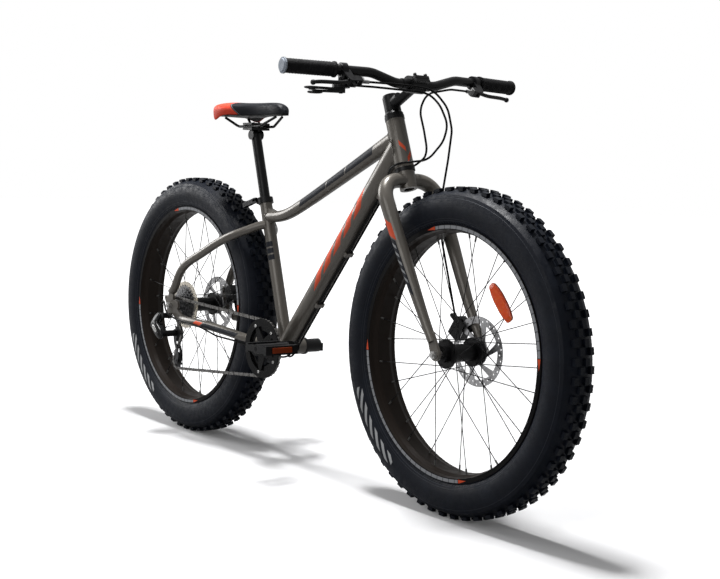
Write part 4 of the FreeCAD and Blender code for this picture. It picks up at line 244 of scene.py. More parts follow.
def start_finish(name, **constants):
    """A material with one Principled shader, and the place on the piece that patterns read."""
    material = bpy.data.materials.new(name)
    material.use_nodes = True
    tree = material.node_tree
    shader = tree.nodes["Principled BSDF"]
    for socket, value in constants.items():
        shader.inputs[socket.replace("_", " ")].default_value = value
    return material, tree, shader, tree.nodes.new("ShaderNodeTexCoord").outputs["Object"]


def bumped(tree, shader, height, strength, distance):
    node = tree.nodes.new("ShaderNodeBump")
    node.inputs["Strength"].default_value = strength
    node.inputs["Distance"].default_value = distance
    tree.links.new(height, node.inputs["Height"])
    tree.links.new(node.outputs[0], shader.inputs["Normal"])


def dimpled(tree, shader, place, scale, strength, distance, randomness=1.0):
    """Bump in small cells: moulded pyramids, rubber beads or pores."""
    cells = tree.nodes.new("ShaderNodeTexVoronoi")
    tree.links.new(place, cells.inputs["Vector"])
    cells.inputs["Scale"].default_value = scale
    cells.inputs["Randomness"].default_value = randomness
    bumped(tree, shader, cells.outputs["Distance"], strength, distance)


def worn(tree, shader, place, colour, patch, amount=0.4, scale=14.0, smooth=0.3, rough=0.45, grain=700.0):
    """The shared wear, linked to a shader; returns its colour so that marks can go over it."""
    out = use(
        tree, WEAR, Place=place, Scale=scale, Colour=rgba(colour), Worn=rgba(patch),
        Amount=amount, Smooth=smooth, Rough=rough, Grain=grain,
    )
    tree.links.new(out["Colour"], shader.inputs["Base Color"])
    tree.links.new(out["Roughness"], shader.inputs["Roughness"])
    return out


def plain_finish(name, colour, patch, wear, bump, **constants):
    """A finish without marks: the shared wear, with its grain as bump."""
    material, tree, shader, place = start_finish(name, **constants)
    out = worn(tree, shader, place, colour, patch, *wear)
    bumped(tree, shader, out["Height"], *bump)
    return material


print("shader groups:", [g.name for g in (WEAR, PANEL, POLAR)])

# %% [markdown]
# ## Frame paint
# The tubes wear a warm grey satin paint with metal flake under clear lacquer. A plain metal
# would be too bright and a plain paint too dead, so the shader is partly metallic with a thin
# coat, and a fine noise lightens single flakes. The coloured panels are decals under the same
# lacquer, so they are masks in the paint and not pieces of their own.

# %% Frame paint
TAUPE = (0.135, 0.123, 0.107)
TAUPE_SHADE = (0.105, 0.095, 0.083)
FLAKE = (0.30, 0.29, 0.27)
ORANGE = (0.80, 0.105, 0.042)
NIGHT = (0.005, 0.007, 0.012)
PALE = (0.36, 0.37, 0.38)


def panel(start, end, low, high, turn, colour, slant=0.0, side=-1):
    """A decal on the tube from start to end: shares of its length, and degrees from its top."""
    first, last = Vector(start), Vector(end)
    way = (last - first).normalized()
    across = Vector((0, side, 0))
    across = (across - way * across.dot(way)).normalized()
    up = way.cross(across)
    up = up if up.z > 0 else -up
    length = (last - first).length
    return {
        "colour": colour,
        "mask": {
            "Start": first, "Along": way, "Up": up, "Side": across, "From": low * length,
            "To": high * length, "Turn_From": math.radians(turn[0]),
            "Turn_To": math.radians(turn[1]), "Slant": slant,
        },
    }


def frame_paint(name, panels=()):
    material, tree, shader, place = start_finish(
        name, Metallic=0.3, Coat_Weight=0.30, Coat_Roughness=0.12, Specular_IOR_Level=0.25
    )
    out = worn(tree, shader, place, TAUPE, TAUPE_SHADE, 0.35, 11, 0.30, 0.40, 900)
    flakes = step(tree, noise(tree, place, 2300, 1), 0.60, 0.72)
    colour = blended(tree, times(tree, flakes, 0.28), out["Colour"], rgba(FLAKE))
    covered = None
    for decal in panels:
        mask = use(tree, PANEL, Place=place, **decal["mask"])["Mask"]
        colour = blended(tree, mask, colour, rgba(decal["colour"]))
        covered = mask if covered is None else maths(tree, "MAXIMUM", covered, mask)
    if covered is not None:
        for socket, change, plain in (
            ("Metallic", -0.3, 0.3), ("Coat Weight", -0.24, 0.30), ("Roughness", 0.3, out["Roughness"])
        ):
            tree.links.new(maths(tree, "MULTIPLY_ADD", covered, change, plain), shader.inputs[socket])
    tree.links.new(colour, shader.inputs["Base Color"])
    bumped(tree, shader, out["Height"], 0.05, 0.0004)
    return material


TOP_TUBE = ((0.00429, 0, 0.70233), (0.32596, 0, 0.8512))
DOWN_TUBE = ((-0.104626, 0, 0.301), (0.33366, 0, 0.82999))
BLADE = ((0.4168, -0.080, 0.650), (0.5255, -0.0728, 0.4454))
STAY = ((-0.2432, -0.0655, 0.3188), (-0.4253, -0.0885, 0.3343))
TOP_PANELS = [
    panel(*TOP_TUBE, low, high, (50, 112), NIGHT, slant=0.010)
    for low, high in ((-0.11, 0.235), (0.247, 0.475), (0.487, 0.815))
]
SLASHES = [0.46 + 0.088 * n for n in range(5)]
DOWN_PANELS = [panel(*DOWN_TUBE, low, low + 0.060, (58, 112), ORANGE, slant=0.05) for low in SLASHES]
HEAD_TUBE = ((0.374637, 0, 0.720399), (0.332613, 0, 0.832799))
CHEVRON = ((0.62, 0.72, (-24, 12), 0.03), (0.73, 0.83, (12, 48), -0.03), (0.36, 0.42, (-14, 38), 0))
HEAD_PANELS = [panel(*HEAD_TUBE, low, high, turn, ORANGE, slant=slant) for low, high, turn, slant in CHEVRON]
SEAT_TUBE = ((-0.104626, 0, 0.301), (-0.226634, 0, 0.69033))
SEAT_PANELS = [panel(*SEAT_TUBE, low, low + 0.034, (28, 104), NIGHT) for low in (0.578, 0.622, 0.666)]
BLADE_ROWS = [(0.10, 0.28, (62, 128), ORANGE), (0.30, 0.88, (72, 128), NIGHT)]
BLADE_ROWS += [(low, low + 0.035, (84, 120), PALE) for low in (0.36, 0.45, 0.54, 0.63, 0.72)]
STAY_ROWS = [(-0.12, 0.70, (48, 112), NIGHT), (0.73, 0.90, (48, 112), ORANGE)]


def both_sides(line, rows, slant):
    """The same decals on the right-hand and the left-hand tube of a pair."""
    panels = []
    for side in (-1, 1):
        tube = [(x, -side * y, z) for x, y, z in line]
        panels += [panel(*tube, *row, slant=slant, side=side) for row in rows]
    return panels


DECALS = {
    "top_tube": TOP_PANELS, "down_tube": DOWN_PANELS, "fork": both_sides(BLADE, BLADE_ROWS, 0.020),
    "chainstays": both_sides(STAY, STAY_ROWS, -0.012), "seat_tube": SEAT_PANELS, "head_tube": HEAD_PANELS,
}
PAINT = {node: frame_paint("paint_" + node, panels) for node, panels in DECALS.items()}
plain_paint = frame_paint("paint_plain")
for node in ("bottom_bracket_shell", "seatstays"):
    PAINT[node] = plain_paint
print("painted nodes:", sorted(PAINT))

# %% [markdown]
# ## Black metal and plastic
# Bar, stem, post, cranks and hubs are black anodised alloy: dark, satin, with a faint sheen
# where they are handled. Levers and pods are moulded plastic, which is rougher and has an
# eroded grain. One function makes both, because only the gloss and the grain differ.

# %% Black finishes
def black_finish(name, metallic, smooth, rough, grain, depth, base=0.0055, shine=0.22):
    dark, lighter = (base, base, base * 1.08), tuple(base * c for c in (1.9, 1.9, 2.0))
    wear = (0.5, 22, smooth, rough, grain)
    return plain_finish(
        name, dark, lighter, wear, (0.12, depth), Metallic=metallic, Specular_IOR_Level=shine
    )


anodised = black_finish("black_anodised", 0.1, 0.28, 0.42, 1100, 0.0003)
moulded = black_finish("black_moulded_plastic", 0.0, 0.42, 0.62, 1500, 0.0005, 0.008)
enamel = black_finish("black_enamel", 0.0, 0.22, 0.34, 500, 0.0002, 0.0045)
sleeve = black_finish("cable_sleeve", 0.0, 0.25, 0.38, 900, 0.0002, 0.005, shine=0.08)
ring_black = black_finish("chainring_black", 0.0, 0.20, 0.32, 500, 0.0002, 0.0035, shine=0.08)

# %% [markdown]
# ## Bright metal
# Rotors, sprockets, axles and the chain are bare steel. A rotor shows the rings that the
# brake pads leave, so its grain follows the radius; the others get a plain brushed grain
# and a little dark oil.

# %% Steel finishes
FRONT_AXLE = (0.5665, 0, 0.370)
REAR_AXLE = (-0.5665, 0, 0.370)
CRANK_AXIS = (-0.104626, 0, 0.301)


def steel_finish(name, colour, oil, smooth, rough, amount=0.6, scale=60.0):
    wear = (amount, scale, smooth, rough, 1300)
    return plain_finish(name, colour, oil, wear, (0.08, 0.0003), Metallic=0.95)


def rotor_finish(name, axle):
    material, tree, shader, place = start_finish(name, Metallic=0.9)
    worn(tree, shader, place, (0.52, 0.52, 0.53), (0.30, 0.29, 0.29), 0.5, 40, 0.24, 0.40)
    polar = use(tree, POLAR, Place=place, Axle=axle)
    ring = tree.nodes.new("ShaderNodeCombineXYZ")
    tree.links.new(polar["Radius"], ring.inputs[0])
    bumped(tree, shader, noise(tree, ring.outputs[0], 2600, 2), 0.25, 0.0003)
    return material


steel = steel_finish("brushed_steel", (0.55, 0.55, 0.54), (0.30, 0.29, 0.28), 0.22, 0.40)
oiled = steel_finish("oiled_chain_steel", (0.21, 0.205, 0.20), (0.05, 0.045, 0.04), 0.25, 0.45, 0.8, 130)
sprocket_steel = steel_finish("sprocket_steel", (0.36, 0.36, 0.37), (0.10, 0.10, 0.10), 0.24, 0.40, 0.7, 150)
dark_steel = steel_finish("dark_steel", (0.06, 0.06, 0.062), (0.03, 0.03, 0.03), 0.28, 0.42)
AXLES = {"front": FRONT_AXLE, "rear": REAR_AXLE}
ROTORS = {end + "_rotor": rotor_finish("rotor_" + end, axle) for end, axle in AXLES.items()}

# %% [markdown]
# ## Spokes and nipples
# The spokes are black and their nipples dull grey. Both are one node, so the finish changes
# with the radius: everything close to the rim is grey.

# %% Spokes
NIPPLE_RADIUS = 0.2560
NIPPLE_GREY = (0.15, 0.15, 0.145, 1)


def spoke_finish(name, axle):
    material, tree, shader, place = start_finish(name, Metallic=0.1, Specular_IOR_Level=0.15)
    out = worn(tree, shader, place, (0.004, 0.004, 0.0045), (0.009, 0.009, 0.010), 0.5, 80, 0.26, 0.40)
    radius = use(tree, POLAR, Place=place, Axle=axle)["Radius"]
    nipple = step(tree, radius, NIPPLE_RADIUS - 0.0005, NIPPLE_RADIUS + 0.0005)
    tree.links.new(blended(tree, nipple, out["Colour"], NIPPLE_GREY), shader.inputs["Base Color"])
    return material


SPOKES = {end + "_spokes": spoke_finish("spokes_" + end, axle) for end, axle in AXLES.items()}

# %% [markdown]
# ## Rims
# Satin black alloy, a little browner on the bed between the flanges. On the outer face of each
# flange runs a grey band with a pointed orange mark at its ends. The band is two arcs, given as
# shares of a turn, and the mark narrows to a point by comparing the radius with how far along
# the mark a place lies.

# %% Rims
FLANGE_OUT = 0.0390
RIM_BAND = (0.2768, 0.2842)
RIM_BROWN = (0.032, 0.025, 0.021, 1)
STRIPE_PALE, STRIPE_DARK = (0.34, 0.35, 0.37, 1), (0.12, 0.125, 0.135, 1)
BAND_ARC, BAND_STRIPES = (0.03, 0.56), 46
MARKS = ((0.028, 0.0), (0.562, 0.590))  # from the broad end to the point, in shares of half a turn
MARK_HALF_WIDTH = 0.0042


def rim_finish(name, axle, first):
    material, tree, shader, place = start_finish(name, Specular_IOR_Level=0.07)
    out = worn(tree, shader, place, (0.0020, 0.0020, 0.0024), (0.0045, 0.0042, 0.0040), 0.6, 18, 0.32, 0.48)
    polar = use(tree, POLAR, Place=place, Axle=axle)
    flange = step(tree, maths(tree, "ABSOLUTE", polar["Out"]), FLANGE_OUT - 0.0002, FLANGE_OUT + 0.0002)
    turn = maths(tree, "SUBTRACT", polar["Turn"], first)
    half_turn = maths(tree, "FRACT", times(tree, turn, 2))
    band = times(tree, between(tree, polar["Radius"], *RIM_BAND, 0.0004), flange)
    arc = times(tree, band, between(tree, half_turn, *BAND_ARC, 0.0008))
    stripe = step(tree, maths(tree, "FRACT", times(tree, half_turn, BAND_STRIPES)), 0.86, 0.90)
    colour = blended(tree, stripe, STRIPE_PALE, STRIPE_DARK)
    bed = blended(tree, flange, RIM_BROWN, out["Colour"])
    colour = blended(tree, arc, bed, colour)
    for start, stop in MARKS:
        share = tree.nodes.new("ShaderNodeMapRange")
        tree.links.new(half_turn, share.inputs["Value"])
        share.inputs["From Min"].default_value = stop
        share.inputs["From Max"].default_value = start
        share.clamp = False
        width = times(tree, share.outputs[0], MARK_HALF_WIDTH)
        off_middle = maths(tree, "ABSOLUTE", maths(tree, "SUBTRACT", polar["Radius"], sum(RIM_BAND) / 2))
        inside = step(tree, maths(tree, "SUBTRACT", width, off_middle), -0.0003, 0.0003)
        near = between(tree, half_turn, min(start, stop), max(start, stop), 0.0008)
        mark = times(tree, times(tree, inside, near), flange)
        colour = blended(tree, mark, colour, rgba(ORANGE))
    tree.links.new(colour, shader.inputs["Base Color"])
    bumped(tree, shader, out["Height"], 0.06, 0.0003)
    return material


RIMS = {end + "_rim": rim_finish("rim_" + end, axle, 0.955) for end, axle in AXLES.items()}

# %% [markdown]
# ## Tyres
# Blue-black rubber. The blocks are in the CAD solid; what the mould leaves on the sidewall is
# shallower than a millimetre, so it is bump: two fine rings, a belt of short ribs by the rim,
# and a dull bloom of dust on the block tops. Pale slanted bars stand on the right-hand
# sidewall where the mould has a printed patch.

# %% Tyres
WALL_RINGS = ((0.3432, 0.3442, 0.0005), (0.2935, 0.2947, 0.0005), (0.2985, 0.2990, 0.0004))
RIB_BELT, BAR_BELT = (0.2885, 0.2925), (0.309, 0.331)
RIBS_ROUND, BARS_ROUND = 220, 58
BAR_ARC = (0.585, 0.690)
WALL_OUT, BLOCK_TOPS = (0.0365, 0.0385), (0.3672, 0.3692)
TOP_DUST, RING_GREY, BAR_PALE = (0.010, 0.012, 0.016, 1), (0.045, 0.052, 0.066, 1), (0.46, 0.47, 0.48, 1)


def tyre_finish(name, axle):
    material, tree, shader, place = start_finish(name, Specular_IOR_Level=0.14)
    rubber, dusty = (0.0025, 0.0040, 0.0085), (0.0055, 0.0080, 0.0145)
    out = worn(tree, shader, place, rubber, dusty, 0.7, 26, 0.36, 0.58, 1400)
    polar = use(tree, POLAR, Place=place, Axle=axle)
    radius, turn = polar["Radius"], polar["Turn"]
    wall = step(tree, maths(tree, "ABSOLUTE", polar["Out"]), *WALL_OUT)
    rings = 0.0
    for ring in WALL_RINGS:
        rings = maths(tree, "ADD", rings, between(tree, radius, *ring))
    rings = times(tree, rings, wall)
    teeth = step(tree, maths(tree, "FRACT", times(tree, turn, RIBS_ROUND)), 0.55, 0.75)
    belt = times(tree, teeth, between(tree, radius, *RIB_BELT, 0.0006))
    relief = maths(tree, "ADD", rings, times(tree, belt, wall))
    top = step(tree, radius, *BLOCK_TOPS)
    colour = blended(tree, times(tree, top, 0.35), out["Colour"], TOP_DUST)
    colour = blended(tree, times(tree, rings, 0.55), colour, RING_GREY)
    lean = maths(tree, "MULTIPLY_ADD", radius, 0.9, turn)
    bars = step(tree, maths(tree, "FRACT", times(tree, lean, BARS_ROUND)), 0.50, 0.54)
    right_side = step(tree, polar["Out"], -0.036, -0.038)
    belt = between(tree, radius, *BAR_BELT, 0.0005)
    for area in (belt, between(tree, turn, *BAR_ARC, 0.0006), right_side):
        bars = times(tree, bars, area)
    colour = blended(tree, bars, colour, BAR_PALE)
    tree.links.new(colour, shader.inputs["Base Color"])
    grain = maths(tree, "MULTIPLY_ADD", out["Height"], 0.35, relief)
    bumped(tree, shader, maths(tree, "ADD", grain, times(tree, bars, 0.5)), 0.5, 0.0012)
    return material


TYRES = {end + "_tyre": tyre_finish("tyre_" + end, axle) for end, axle in AXLES.items()}
print("wheel finishes:", len(ROTORS) + len(SPOKES) + len(RIMS) + len(TYRES))

# %% [markdown]
# ## Reflectors, guard disc and grips
# The reflectors are clear orange plastic with small moulded pyramids behind the face, which
# a Voronoi bump imitates. The disc behind the sprockets is tinted see-through plastic. The
# grips are soft rubber; the plug in the right-hand end is pale.

# %% Lenses, guard and grips
def lens_finish(name):
    material, tree, shader, place = start_finish(
        name, Coat_Weight=0.25, Coat_Roughness=0.05, Specular_IOR_Level=0.2
    )
    worn(tree, shader, place, (0.90, 0.085, 0.006), (0.95, 0.15, 0.012), 0.6, 90, 0.14, 0.28)
    dimpled(tree, shader, place, 360, 0.5, 0.0012, randomness=0.15)
    return material


PLUG_EDGE = (-0.3425, -0.3432)


def grip_finish(name):
    material, tree, shader, place = start_finish(name, Specular_IOR_Level=0.15)
    out = worn(tree, shader, place, (0.004, 0.004, 0.0045), (0.009, 0.009, 0.0095), 0.6, 30, 0.60, 0.80)
    plug = step(tree, along_axes(tree, place)[1], *PLUG_EDGE)
    colour = blended(tree, plug, out["Colour"], (0.40, 0.44, 0.50, 1))
    tree.links.new(colour, shader.inputs["Base Color"])
    dimpled(tree, shader, place, 330, 0.45, 0.0012)
    return material


lens, grip = lens_finish("orange_lens"), grip_finish("grip_rubber")
guard = plain_finish(
    "tinted_guard", (0.80, 0.75, 0.66), (0.70, 0.64, 0.54), (0.5, 40, 0.16, 0.34), (0.05, 0.0003),
    IOR=1.45, Transmission_Weight=0.55,
)

# %% [markdown]
# ## Pieces of two finishes
# A pedal's cage is black and its reflectors are orange, but both are one node. The same is
# true of the lever perches with their bright adjusters. A mask along one axis tells the two
# apart, measured from the node's own box so that it holds wherever the piece sits.

# %% Pedals and perches
def two_tone(name, inner, outer, axis, low, high, metallic, roughness):
    """inner colour between low and high along an axis, outer colour beyond them."""
    material, tree, shader, place = start_finish(name, Metallic=metallic, Specular_IOR_Level=0.2)
    out = worn(tree, shader, place, inner, tuple(c * 1.8 for c in inner), 0.5, 40, *roughness, 900)
    middle = between(tree, along_axes(tree, place)[axis], low, high, 0.0002)
    tree.links.new(blended(tree, middle, rgba(outer), out["Colour"]), shader.inputs["Base Color"])
    bumped(tree, shader, out["Height"], 0.15, 0.0004)
    return material


CAGE_BLACK, REFLECTOR_ORANGE, FACE = (0.0035, 0.0035, 0.004), (0.30, 0.045, 0.010), 0.0024
ADJUSTER_GREY, PERCH_BLACK, ADJUSTER_END = (0.30, 0.30, 0.30), (0.009, 0.009, 0.010), 0.1682
TWO_TONE = {}
for pedal in ("pedal_right", "pedal_left"):
    low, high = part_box(pedal)
    TWO_TONE[pedal] = two_tone(
        "finish_" + pedal, CAGE_BLACK, REFLECTOR_ORANGE, 0, low.x + FACE, high.x - FACE, 0.0, (0.32, 0.5)
    )
TWO_TONE["brake_perches"] = two_tone(
    "finish_brake_perches", ADJUSTER_GREY, PERCH_BLACK, 1, -ADJUSTER_END, ADJUSTER_END, 0.2, (0.28, 0.42)
)

# %% [markdown]
# ## Hand the finishes out
# A CAD node keeps its shape and only gets a material. The table below is the whole plan, so a
# change of finish is a change of one word.

# %% Assign materials
FINISHES = {**PAINT, **ROTORS, **SPOKES, **RIMS, **TYRES, **TWO_TONE}
GROUPS = (
    (anodised, "headset_cups headset_covers stem handlebar seatpost saddle_clamp front_hub rear_hub "
     "crank_left bottom_bracket_cups brake_lever_right brake_lever_left seat_collar "
     "derailleur_mount derailleur_outer_link derailleur_inner_link"),
    (enamel, "saddle_rails front_brake_caliper rear_brake_caliper derailleur_knuckle"),
    (ring_black, "chainring crank_right"),
    (moulded, "shift_lever_upper shift_lever_lower saddle_base guide_pulley tension_pulley"),
    (steel, "front_axle rear_axle front_brake_arm rear_brake_arm"),
    (dark_steel, "derailleur_cage seat_lever"),
    (oiled, "chain"),
    (sprocket_steel, "cassette"),
    (sleeve, "front_brake_cable frame_cables"),
    (lens, "spoke_reflector"),
    (guard, "spoke_guard"),
    (grip, "grips"),
    (moulded, "saddle_cover"),
)
for material, names in GROUPS:
    for node in names.split():
        FINISHES[node] = material
for node, material in FINISHES.items():
    NODES[node].data.materials.clear()
    NODES[node].data.materials.append(material)
print("without a finish:", sorted(set(NODES) - set(FINISHES)))

# %% [markdown]
# ## From mesh to piece
# Every piece that is made below goes the same way: a bmesh becomes a plain mesh with its faces
# outwards, the mesh becomes an object with its finishes, and the object rides on a body.

# %% Mesh helpers
def finished(name, work):
    bmesh.ops.recalc_face_normals(work, faces=work.faces)
    mesh = bpy.data.meshes.new(name)
    work.to_mesh(mesh)
    work.free()
    return mesh


def linked(name, mesh, *finishes):
    piece = bpy.data.objects.new(name, mesh)
    bpy.context.collection.objects.link(piece)
    for finish in finishes:
        mesh.materials.append(finish)
    return piece


def carried(piece, body):
    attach(piece, body)
    return piece


def closed_rings(work, rings):
    """Faces between rings of equal count, with a cap on the first and the last."""
    for near, far in zip(rings, rings[1:]):
        for k in range(len(near)):
            work.faces.new((near[k - 1], near[k], far[k], far[k - 1]))
    work.faces.new(rings[0])
    work.faces.new(list(reversed(rings[-1])))

# %% [markdown]
# ## Cables that follow the bar
# Two cables run from the bar down to the frame. They are the CAD tubes: a copy of them is
# welded into one mesh, which is shown in place of the CAD node.

# %% Cables
def merged_copy(node, name):
    """A copy of a CAD node's loose triangles, joined into a closed mesh."""
    mesh = NODES[node].data.copy()
    mesh.name = name
    work = bmesh.new()
    work.from_mesh(mesh)
    bmesh.ops.remove_doubles(work, verts=work.verts, dist=1e-6)
    work.to_mesh(mesh)
    work.free()
    return linked(name, mesh)


cables = merged_copy("frame_cables", "frame_cable_sleeves")
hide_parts("frame_cables")
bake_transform(cables)
print("cable points:", len(cables.data.vertices))

# %% [markdown]
# ## Saddle cover
# The saddle is foam under a stretched synthetic skin: wide at the back, a long nose, a crowned
# top with a shallow channel. A box with a subdivision would lose the plan, so the skin is
# lofted from sections along its length, and a short cloth run with a little pressure puffs
# the foam between its pinned lower edge and the base. The tail carries an orange field.

# %% Saddle skin finish
SADDLE_LOW, SADDLE_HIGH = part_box("saddle_cover")
FIELD_EDGE = 0.12  # how far the orange field reaches from the tail


def saddle_finish(name):
    material, tree, shader, place = start_finish(name, Specular_IOR_Level=0.16)
    out = worn(tree, shader, place, (0.005, 0.006, 0.009), (0.010, 0.011, 0.015), 0.6, 24, 0.38, 0.55)
    ahead, _, above = along_axes(tree, vectors(tree, "SUBTRACT", place, tuple(SADDLE_LOW)))
    lean = maths(tree, "MULTIPLY_ADD", maths(tree, "MAXIMUM", above, 0.0), 1.05, ahead)
    field = step(tree, lean, FIELD_EDGE + 0.0005, FIELD_EDGE - 0.0005)
    line = between(tree, lean, FIELD_EDGE + 0.0025, FIELD_EDGE + 0.0040, 0.0004)
    colour = blended(tree, field, out["Colour"], (0.78, 0.075, 0.040, 1))
    colour = blended(tree, times(tree, line, 0.8), colour, (0.30, 0.31, 0.33, 1))
    tree.links.new(colour, shader.inputs["Base Color"])
    dimpled(tree, shader, place, 620, 0.35, 0.0007)
    return material


saddle_skin = saddle_finish("saddle_skin")

# %% Saddle skin shape
PLAN = ((0, 0.44, 0.5), (0.03, 0.7, 0.74), (0.09, 0.92, 0.95), (0.19, 1, 1), (0.31, 0.93, 0.97))
PLAN += ((0.46, 0.64, 0.92), (0.6, 0.42, 0.9), (0.78, 0.3, 0.9), (0.89, 0.26, 0.84))
PLAN += ((0.955, 0.21, 0.66), (0.985, 0.15, 0.46), (1, 0.08, 0.28))
HALF_SECTION = ((0, 0), (0.5, 0), (0.87, 0), (0.90, -1), (0.96, -0.85), (1, 0.3))
HALF_SECTION += ((0.97, 0.6), (0.86, 0.8), (0.55, 0.93), (0.25, 0.985), (0, 0.99))

UNDERSIDE = (1, 2, 3)  # strips of a half section below the skin's lower edge


def between_rows(share):
    """Width and height shares at a place along the saddle, smooth through the plan's rows."""
    rows = list(PLAN)
    n = max(i for i in range(len(rows) - 1) if rows[i][0] <= share)
    before, first, last, after = rows[max(n - 1, 0)], rows[n], rows[n + 1], rows[min(n + 2, len(rows) - 1)]
    t = (share - first[0]) / (last[0] - first[0])
    span = last[0] - first[0]
    values = []
    for k in (1, 2):
        slope_in = (last[k] - before[k]) / (last[0] - before[0]) * span
        slope_out = (after[k] - first[k]) / (after[0] - first[0]) * span
        values.append(
            (2 * t ** 3 - 3 * t ** 2 + 1) * first[k] + (t ** 3 - 2 * t ** 2 + t) * slope_in
            + (3 * t ** 2 - 2 * t ** 3) * last[k] + (t ** 3 - t ** 2) * slope_out
        )
    return values


def saddle_mesh(stations):
    size = SADDLE_HIGH - SADDLE_LOW
    middle = (SADDLE_LOW.y + SADDLE_HIGH.y) / 2
    section = list(HALF_SECTION) + [(-y, z) for y, z in reversed(HALF_SECTION[1:-1])]
    work = bmesh.new()
    rings = []
    for n in range(stations):
        share = 0.5 - 0.5 * math.cos(math.pi * n / (stations - 1))
        width, height = between_rows(min(share, 0.9999))
        channel = 0.07 * math.exp(-((share - 0.42) / 0.2) ** 2)
        skirt = 0.05 + 0.48 * math.exp(-((share - 0.13) / 0.095) ** 2)
        ring = []
        for y, z in section:
            dip = channel * max(0, 1 - (y / 0.4) ** 2) if z > 0.9 else 0
            z = z * skirt if z < 0 else z
            up = SADDLE_LOW.z + size.z * height * (z - dip)
            ring.append(work.verts.new((SADDLE_LOW.x + size.x * share, middle + size.y / 2 * width * y, up)))
        rings.append(ring)
    for near, far in zip(rings, rings[1:]):
        for k in range(len(section)):
            face = work.faces.new((near[k], near[k - 1], far[k - 1], far[k]))
            face.material_index = int(min(k, len(section) + 1 - k) in UNDERSIDE)
    work.faces.new(rings[0])
    work.faces.new(reversed(rings[-1]))
    return finished("saddle_skin", work)


def puff(piece, pinned_below, most):
    """A short cloth run with pressure; no point may move further than most."""
    before = [v.co.copy() for v in piece.data.vertices]
    pins = piece.vertex_groups.new(name="pins")
    pins.add([v.index for v in piece.data.vertices if v.co.z < pinned_below], 1.0, "REPLACE")
    cloth = piece.modifiers.new("cloth", "CLOTH")
    cloth.settings.use_pressure = True
    cloth.settings.uniform_pressure_force = 3.0
    cloth.settings.vertex_group_mass = "pins"
    cloth.settings.effector_weights.gravity = 0
    cloth.settings.tension_stiffness = 40
    cloth.settings.bending_stiffness = 8
    for number in range(1, 16):
        bpy.context.scene.frame_set(number)
    evaluated = piece.evaluated_get(bpy.context.evaluated_depsgraph_get())
    moved = [v.co.copy() for v in evaluated.data.vertices]
    piece.modifiers.remove(cloth)
    bpy.context.scene.frame_set(1)
    for v, old, new in zip(piece.data.vertices, before, moved):
        shift = new - old
        v.co = old + shift * min(1.0, most / max(shift.length, 1e-9))
    piece.vertex_groups.clear()


saddle = linked("saddle_skin", saddle_mesh(34), saddle_skin, moulded)
puff(saddle, SADDLE_LOW.z + 0.004, 0.002)
saddle.data.shade_smooth()
rounding = saddle.modifiers.new("rounding", "SUBSURF")
rounding.levels = rounding.render_levels = 2
carried(saddle, "seat")
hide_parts("saddle_cover")
print("saddle skin points:", len(saddle.data.vertices))

# %% [markdown]
# ## Spoke reflector
# The CAD reflector is a plain block. The real lens is long, with ends that taper and a front
# edge that is bevelled all round, so its outline is drawn point by point and raised in three
# levels. The block's own box gives the middle and the side that faces outwards.

# %% Spoke reflector
LENS_OUTLINE = ((48, 5), (45, 9), (30, 13), (14, 15), (-14, 15), (-30, 13), (-45, 9), (-48, 5))
LENS_OUTLINE += tuple((along, -out) for along, out in reversed(LENS_OUTLINE))
LENS_LEVELS = ((0.004, 0.97), (-0.0015, 1.0), (-0.004, 0.80))


def reflector_mesh(name):
    low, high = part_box("spoke_reflector")
    middle = (low + high) / 2
    out = Vector((middle.x - FRONT_AXLE[0], 0, middle.z - FRONT_AXLE[2])).normalized()
    along = Vector((-out.z, 0, out.x))
    work = bmesh.new()
    rings = []
    for level, share in LENS_LEVELS:
        centre = middle + Vector((0, level, 0))
        places = [centre + (along * a + out * o) * share * 0.001 for a, o in LENS_OUTLINE]
        rings.append([work.verts.new(place) for place in places])
    closed_rings(work, rings)
    return finished(name, work)


reflector = linked("spoke_reflector_lens", reflector_mesh("spoke_reflector_lens"), lens)
carried(reflector, "front_wheel")
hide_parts("spoke_reflector")
print("reflector faces:", len(reflector.data.polygons))

# %% [markdown]
# ## Derailleur
# The CAD derailleur has true pivots but square blocks. The real one is cast in rounded shells
# round those pivots, and its cage is a pair of waisted plates that leave the pulleys in sight.
# Two squared-off egg shapes ride on the outer link and on the knuckle, which also carries a
# small bright plate; the cage plates are cut from an outline that swings to one side and back
# between the two bolts.

# %% Derailleur
GUIDE, TENSION = Vector((-0.5495, -0.074, 0.291)), Vector((-0.545752, -0.074, 0.211088))
PLATES, PLATE_THICK = (-0.081, -0.069), 0.002
WAIST, SHOULDER, SWING, END_RADIUS = 0.0058, 0.0036, 0.006, 0.0094
BOLT_RADIUS, BOLT_INNER = 0.003, -0.067
BOLT_OUTER = ((GUIDE, -0.098), (TENSION, -0.0825))


def shell(name, first, last, sizes, finish, body):
    """A squared-off egg along the line from first to last; sizes are across and out."""
    first, last = Vector(first), Vector(last)
    way = (last - first).normalized()
    out = Vector((0, -1, 0))
    out = (out - way * out.dot(way)).normalized()
    across = out.cross(way)
    half = (last - first).length / 2
    axes = Matrix((way * half, across * sizes[0], out * sizes[1])).transposed().to_4x4()
    work = bmesh.new()
    bmesh.ops.create_uvsphere(work, u_segments=28, v_segments=16, radius=1)
    for v in work.verts:
        v.co = Vector(math.copysign(abs(c) ** 0.75, c) for c in v.co)
    bmesh.ops.transform(work, matrix=Matrix.Translation((first + last) / 2) @ axes, verts=work.verts)
    for face in work.faces:
        face.smooth = True
    return carried(linked(name, finished(name, work), finish), body)


